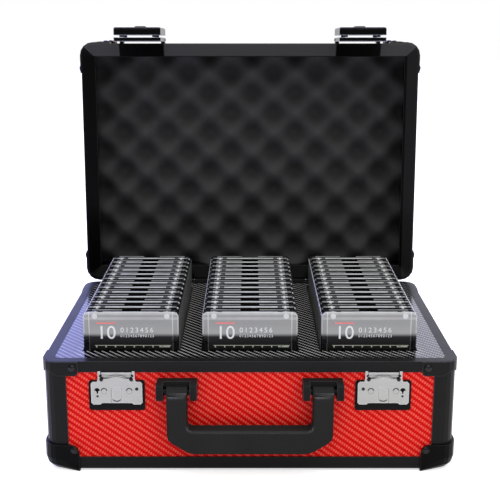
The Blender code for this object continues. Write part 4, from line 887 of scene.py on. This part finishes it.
# Locks: a black backing plate riveted to the front board, a nickel-plated cover pressed from sheet
# with two rivets, a sprung tongue and a keeper strip above.
def nickel_finish(name):
    """Satin nickel plate, brushed along its width, with the marks of rivets, slots and tongue."""
    material, start = start_finish(name)
    place, axes = object_place(start)
    stretched = start.add("ShaderNodeMapping", None, {"Vector": place, "Scale": (1, 1, 30)})
    streaks = noise(start, stretched, 14.0, 5.0)
    speckle = noise(start, place, 700.0)
    outer, up = abs(axes[0]) - lock_middle, axes[2]
    aside = abs(outer)

    def from_point(across, height):
        return ((outer - across) ** 2.0 + (up - height) ** 2.0).math("SQRT")

    def dot(across, height, full, faded):
        return 1 - from_point(across, height).ease(full, faded)

    def ring(across, height, radius, width):
        core, away = width * 0.3, from_point(across, height)
        return away.band(radius - width, radius - core, radius + core, radius + width)

    rivet_across, rivet_up, tongue_up = 0.0105, 0.0689, 0.0639
    marks = None
    for across in (rivet_across, -rivet_across):
        upper_arc = 0.2 + 0.8 * up.ease(rivet_up - 0.0002, rivet_up + 0.0010)
        mark = ring(across, rivet_up, 0.0023, 0.0007) * upper_arc
        marks = mark if marks is None else marks + mark
    lower_arc = 1 - up.ease(tongue_up - 0.0034, tongue_up - 0.0016)
    marks = marks + ring(0.0, tongue_up, 0.0040, 0.0007) * lower_arc
    keyhole = dot(0.0162, rivet_up + 0.0004, 0.0021, 0.0026) * up.ease(rivet_up, rivet_up + 0.0006)
    marks = marks + dot(0.0160, rivet_up - 0.0046, 0.0008, 0.0012) + keyhole
    marks = marks + dot(-0.0168, rivet_up + 0.0018, 0.0012, 0.0017)
    for side in (-1, 1):
        marks = marks + dot(side * 0.0124, 0.0792, 0.0014, 0.0020)
        marks = marks + dot(side * 0.0132, 0.0822, 0.0009, 0.0015)
    ear_seam = up.band(0.0795, 0.0797, 0.0799, 0.0801) * aside.ease(0.0060, 0.0064)
    ear_seam = ear_seam * (1 - aside.ease(0.0118, 0.0122))
    arch = ring(0.0, 0.0668, 0.0150, 0.0005) * up.ease(0.0798, 0.0804)
    marks = marks + ear_seam * 0.8 + arch * 0.8
    below_rivet = 1 - up.ease(rivet_up + 0.0010, rivet_up + 0.0016)
    tongue_line = outer.band(0.0043, 0.0045, 0.0048, 0.0050) * below_rivet
    ear_gap = aside.band(0.0119, 0.0122, 0.0132, 0.0135) * up.band(0.0772, 0.0776, 0.0800, 0.0812)
    marks = (marks + tongue_line * 0.45 + ear_gap).math("MINIMUM", 1.0)

    tone = (streaks * 0.6 + speckle * 0.4).tint((0.325, 0.324, 0.302, 1), (0.390, 0.389, 0.364, 1))
    # Painted highlight along the rounded edges.
    tone = off_flat(start, 0.0010).tint(tone, (0.58, 0.58, 0.585, 1))
    close_finish(start, {
        "Base Color": marks.tint(tone, (0.006, 0.006, 0.007, 1)),
        "Metallic": 0.25 - 0.2 * marks, "Roughness": 0.32 + 0.1 * speckle,
        "Normal": relief(start, streaks + speckle * 0.3, 0.06, 0.0002),
        "Specular IOR Level": 0.2,
    })
    return material


nickel = nickel_finish("brushed_nickel")
lock_black = metal_finish("lock_black", (0.0025, 0.0025, 0.0025), 0.4, grain_even, 0.0, 0.07)
for side in ("left", "right"):
    put("lock_plate_" + side, lock_black)
    for node in ("lock_cover_", "lock_tongue_", "lock_keeper_"):
        put(node + side, nickel)


# Handle: one black moulding with a fine leather-like grain. It swings on two pins between painted
# brackets, which are riveted through the front board.
def moulded_finish(name, colour, rough, shine=0.14):
    """Grained black plastic, paler where an upper front edge catches the light."""
    material, start = start_finish(name)
    place = object_place(start)[0]
    sockets = {"Vector": place, "Scale": 900.0}
    grain = start.add("ShaderNodeTexVoronoi", {"feature": "SMOOTH_F1"}, sockets)
    smears = noise(start, place, 30.0, 4.0)
    rounded = start.add("ShaderNodeBevel", {"samples": 6}, {"Radius": 0.0030})
    flat = start.add("ShaderNodeNewGeometry", None, None, output=1)
    faces_up = rounded.split()[2].ease(0.12, 0.60)
    on_front = 1 - flat.split()[2].ease(0.10, 0.45)
    tone = smears.tint(opaque(colour, 0.8), opaque(colour, 1.25))
    tone = (faces_up * on_front * (0.3 + 0.9 * grain)).tint(tone, (0.30, 0.30, 0.305, 1))
    close_finish(start, {
        "Base Color": tone, "Roughness": rough + 0.12 * smears,
        "Normal": relief(start, grain, 0.2, 0.0003), "Specular IOR Level": shine,
    })
    return material


bracket_black = metal_finish("bracket_black", (0.0130, 0.0130, 0.0128), 0.34, grain_even, 0.4, 0.01)
put("handle", moulded_finish("handle_moulding", (0.0175, 0.0175, 0.0172), 0.42, 0.01))
for side in ("left", "right"):
    put("handle_bracket_" + side, bracket_black)


# Continuous hinge along the rear: two leaves in black steel strip, each rolled round one pin in
# turn with the other, and riveted to the base and the lid.
for node in ("hinge_base_leaf", "hinge_lid_leaf", "hinge_pin"):
    put(node, rail_black)


# Egg-crate foam in the lid: one sheet of charcoal foam, cut in two crossed waves and glued to the
# top board. It is grown upright and then leans back with the lid.
def egg_tree():
    """A closed slab whose front follows two crossed cosines."""
    tree, inputs, output = start_tree("egg_crate", (
        ("Geometry", "Geometry"), ("Size", "Vector"), ("Middle", "Vector"),
        ("Pitch Across", "Float"), ("Pitch Up", "Float"), ("Pit Across", "Float"),
        ("Pit Up", "Float"), ("Swing", "Float"), ("Paint", "Material"),
    ))
    add = tree.nodes.new
    slab = add("GeometryNodeMeshCube")
    for name, count in (("Vertices X", 150), ("Vertices Y", 2), ("Vertices Z", 106)):
        slab.inputs[name].default_value = count
    place = add("GeometryNodeTransform")
    where = add("GeometryNodeInputPosition")
    apart = add("ShaderNodeSeparateXYZ")
    middle = add("ShaderNodeSeparateXYZ")
    move = add("ShaderNodeCombineXYZ")
    shift = add("GeometryNodeSetPosition")
    smooth = add("GeometryNodeSetShadeSmooth")
    real = add("GeometryNodeRealizeInstances")
    paint = add("GeometryNodeSetMaterial")

    def work_out(operation, *values):
        node = add("ShaderNodeMath")
        node.operation = operation
        for socket, value in zip(node.inputs, values):
            if isinstance(value, (int, float)):
                socket.default_value = value
            else:
                tree.links.new(value, socket)
        return node.outputs[0]

    def wave(along, pit, pitch):
        """One of the crossed waves, lowest over each pit."""
        past_pit = work_out("SUBTRACT", along, inputs.outputs[pit])
        turns = work_out("DIVIDE", past_pit, inputs.outputs[pitch])
        return work_out("COSINE", work_out("MULTIPLY", turns, math.tau))

    x, y, z = apart.outputs
    across, up = wave(x, "Pit Across", "Pitch Across"), wave(z, "Pit Up", "Pitch Up")
    crossed = work_out("MULTIPLY", across, up)
    swing = work_out("MULTIPLY", crossed, inputs.outputs["Swing"])
    on_front = work_out("LESS_THAN", y, middle.outputs[1])
    tree.links.new(work_out("MULTIPLY", swing, on_front), move.inputs[1])
    join(
        tree, (inputs, "Middle", middle, 0), (inputs, "Size", slab, "Size"), (slab, 0, place, 0),
        (inputs, "Middle", place, "Translation"), (where, 0, apart, 0), (place, 0, shift, 0),
        (move, 0, shift, "Offset"), (shift, 0, real, 0), (real, 0, smooth, 0),
        (smooth, 0, paint, 0), (inputs, "Paint", paint, "Material"), (paint, 0, output, 0),
    )
    return tree


hinge_point = Vector((0, hinge_y, hinge_z))
lean = (
    Matrix.Translation(hinge_point) @ Matrix.Rotation(math.pi / 2 - lid_angle, 4, "X")
    @ Matrix.Translation(-hinge_point)
)
foam_node = nodes["lid_foam"]
upright = [lean.inverted() @ foam_node.matrix_world @ v.co for v in foam_node.data.vertices]
foam_low = [min(point[i] for point in upright) for i in range(3)]
foam_high = [max(point[i] for point in upright) for i in range(3)]
pit_thickness = 0.0077
peak_y, back_y = foam_low[1], foam_high[1]
valley_y = back_y - pit_thickness
mid_front = (peak_y + valley_y) / 2


def egg_foam_finish(name):
    """Charcoal foam, with painted shade down in the pits."""
    material, start = start_finish(name)
    place, axes = half_place(start, "lid")
    depth = (axes[2] - hinge_z + hinge_y).ease(peak_y + 0.002, valley_y - 0.001)
    fluff = noise(start, place, 300.0, 6.0, 0.7)
    clouds = noise(start, place, 24.0, 3.0)
    cells = start.add("ShaderNodeTexVoronoi", None, {"Vector": place, "Scale": 1500.0})
    # Painted shade: darker with depth into the pits.
    tone = depth.tint(grey(0.041), grey(0.010))
    close_finish(start, {
        "Base Color": (fluff * 0.5 + clouds * 0.3).tint(tone, grey(0.035)),
        "Roughness": 0.9 + 0.1 * fluff, "Specular IOR Level": 0.1,
        "Normal": relief(start, cells * 0.5 + fluff, 0.3, 0.0005),
    })
    return material


egg = grow("egg_crate_foam", bpy.data.meshes.new("egg_seed"), egg_tree(), {
    "Size": (foam_high[0] - foam_low[0], back_y - mid_front, foam_high[2] - foam_low[2]),
    "Middle": (
        (foam_low[0] + foam_high[0]) / 2, (mid_front + back_y) / 2,
        (foam_low[2] + foam_high[2]) / 2,
    ),
    "Pitch Across": 0.046, "Pitch Up": 0.042, "Pit Across": 0.0025,
    "Pit Up": hinge_y + hinge_z - 0.0127, "Swing": (valley_y - peak_y) / 2,
    "Paint": egg_foam_finish("lid_foam"),
})
egg.data.transform(lean)
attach(egg, "lid")
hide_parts("lid_foam")


# Hasps on the lid's front wall: a riveted base, a plate that swings on its pin, a bevelled cover
# and a release button. They are cast and pressed metal in glossy black, the button in grey plastic.
# The hasps' edges take a lavender painted highlight.
hasp_black = metal_finish(
    "hasp_black", (0.0010, 0.0010, 0.0010), 0.16, (2, 12, 12), 1.0, 0.03, (0.34, 0.34, 0.44),
)
button_grey = moulded_finish("button_grey", (0.03, 0.03, 0.033), 0.35)
for side in ("left", "right"):
    for node in ("hasp_base_", "hasp_plate_", "hasp_cover_"):
        put(node + side, hasp_black)
    put("hasp_button_" + side, button_grey)
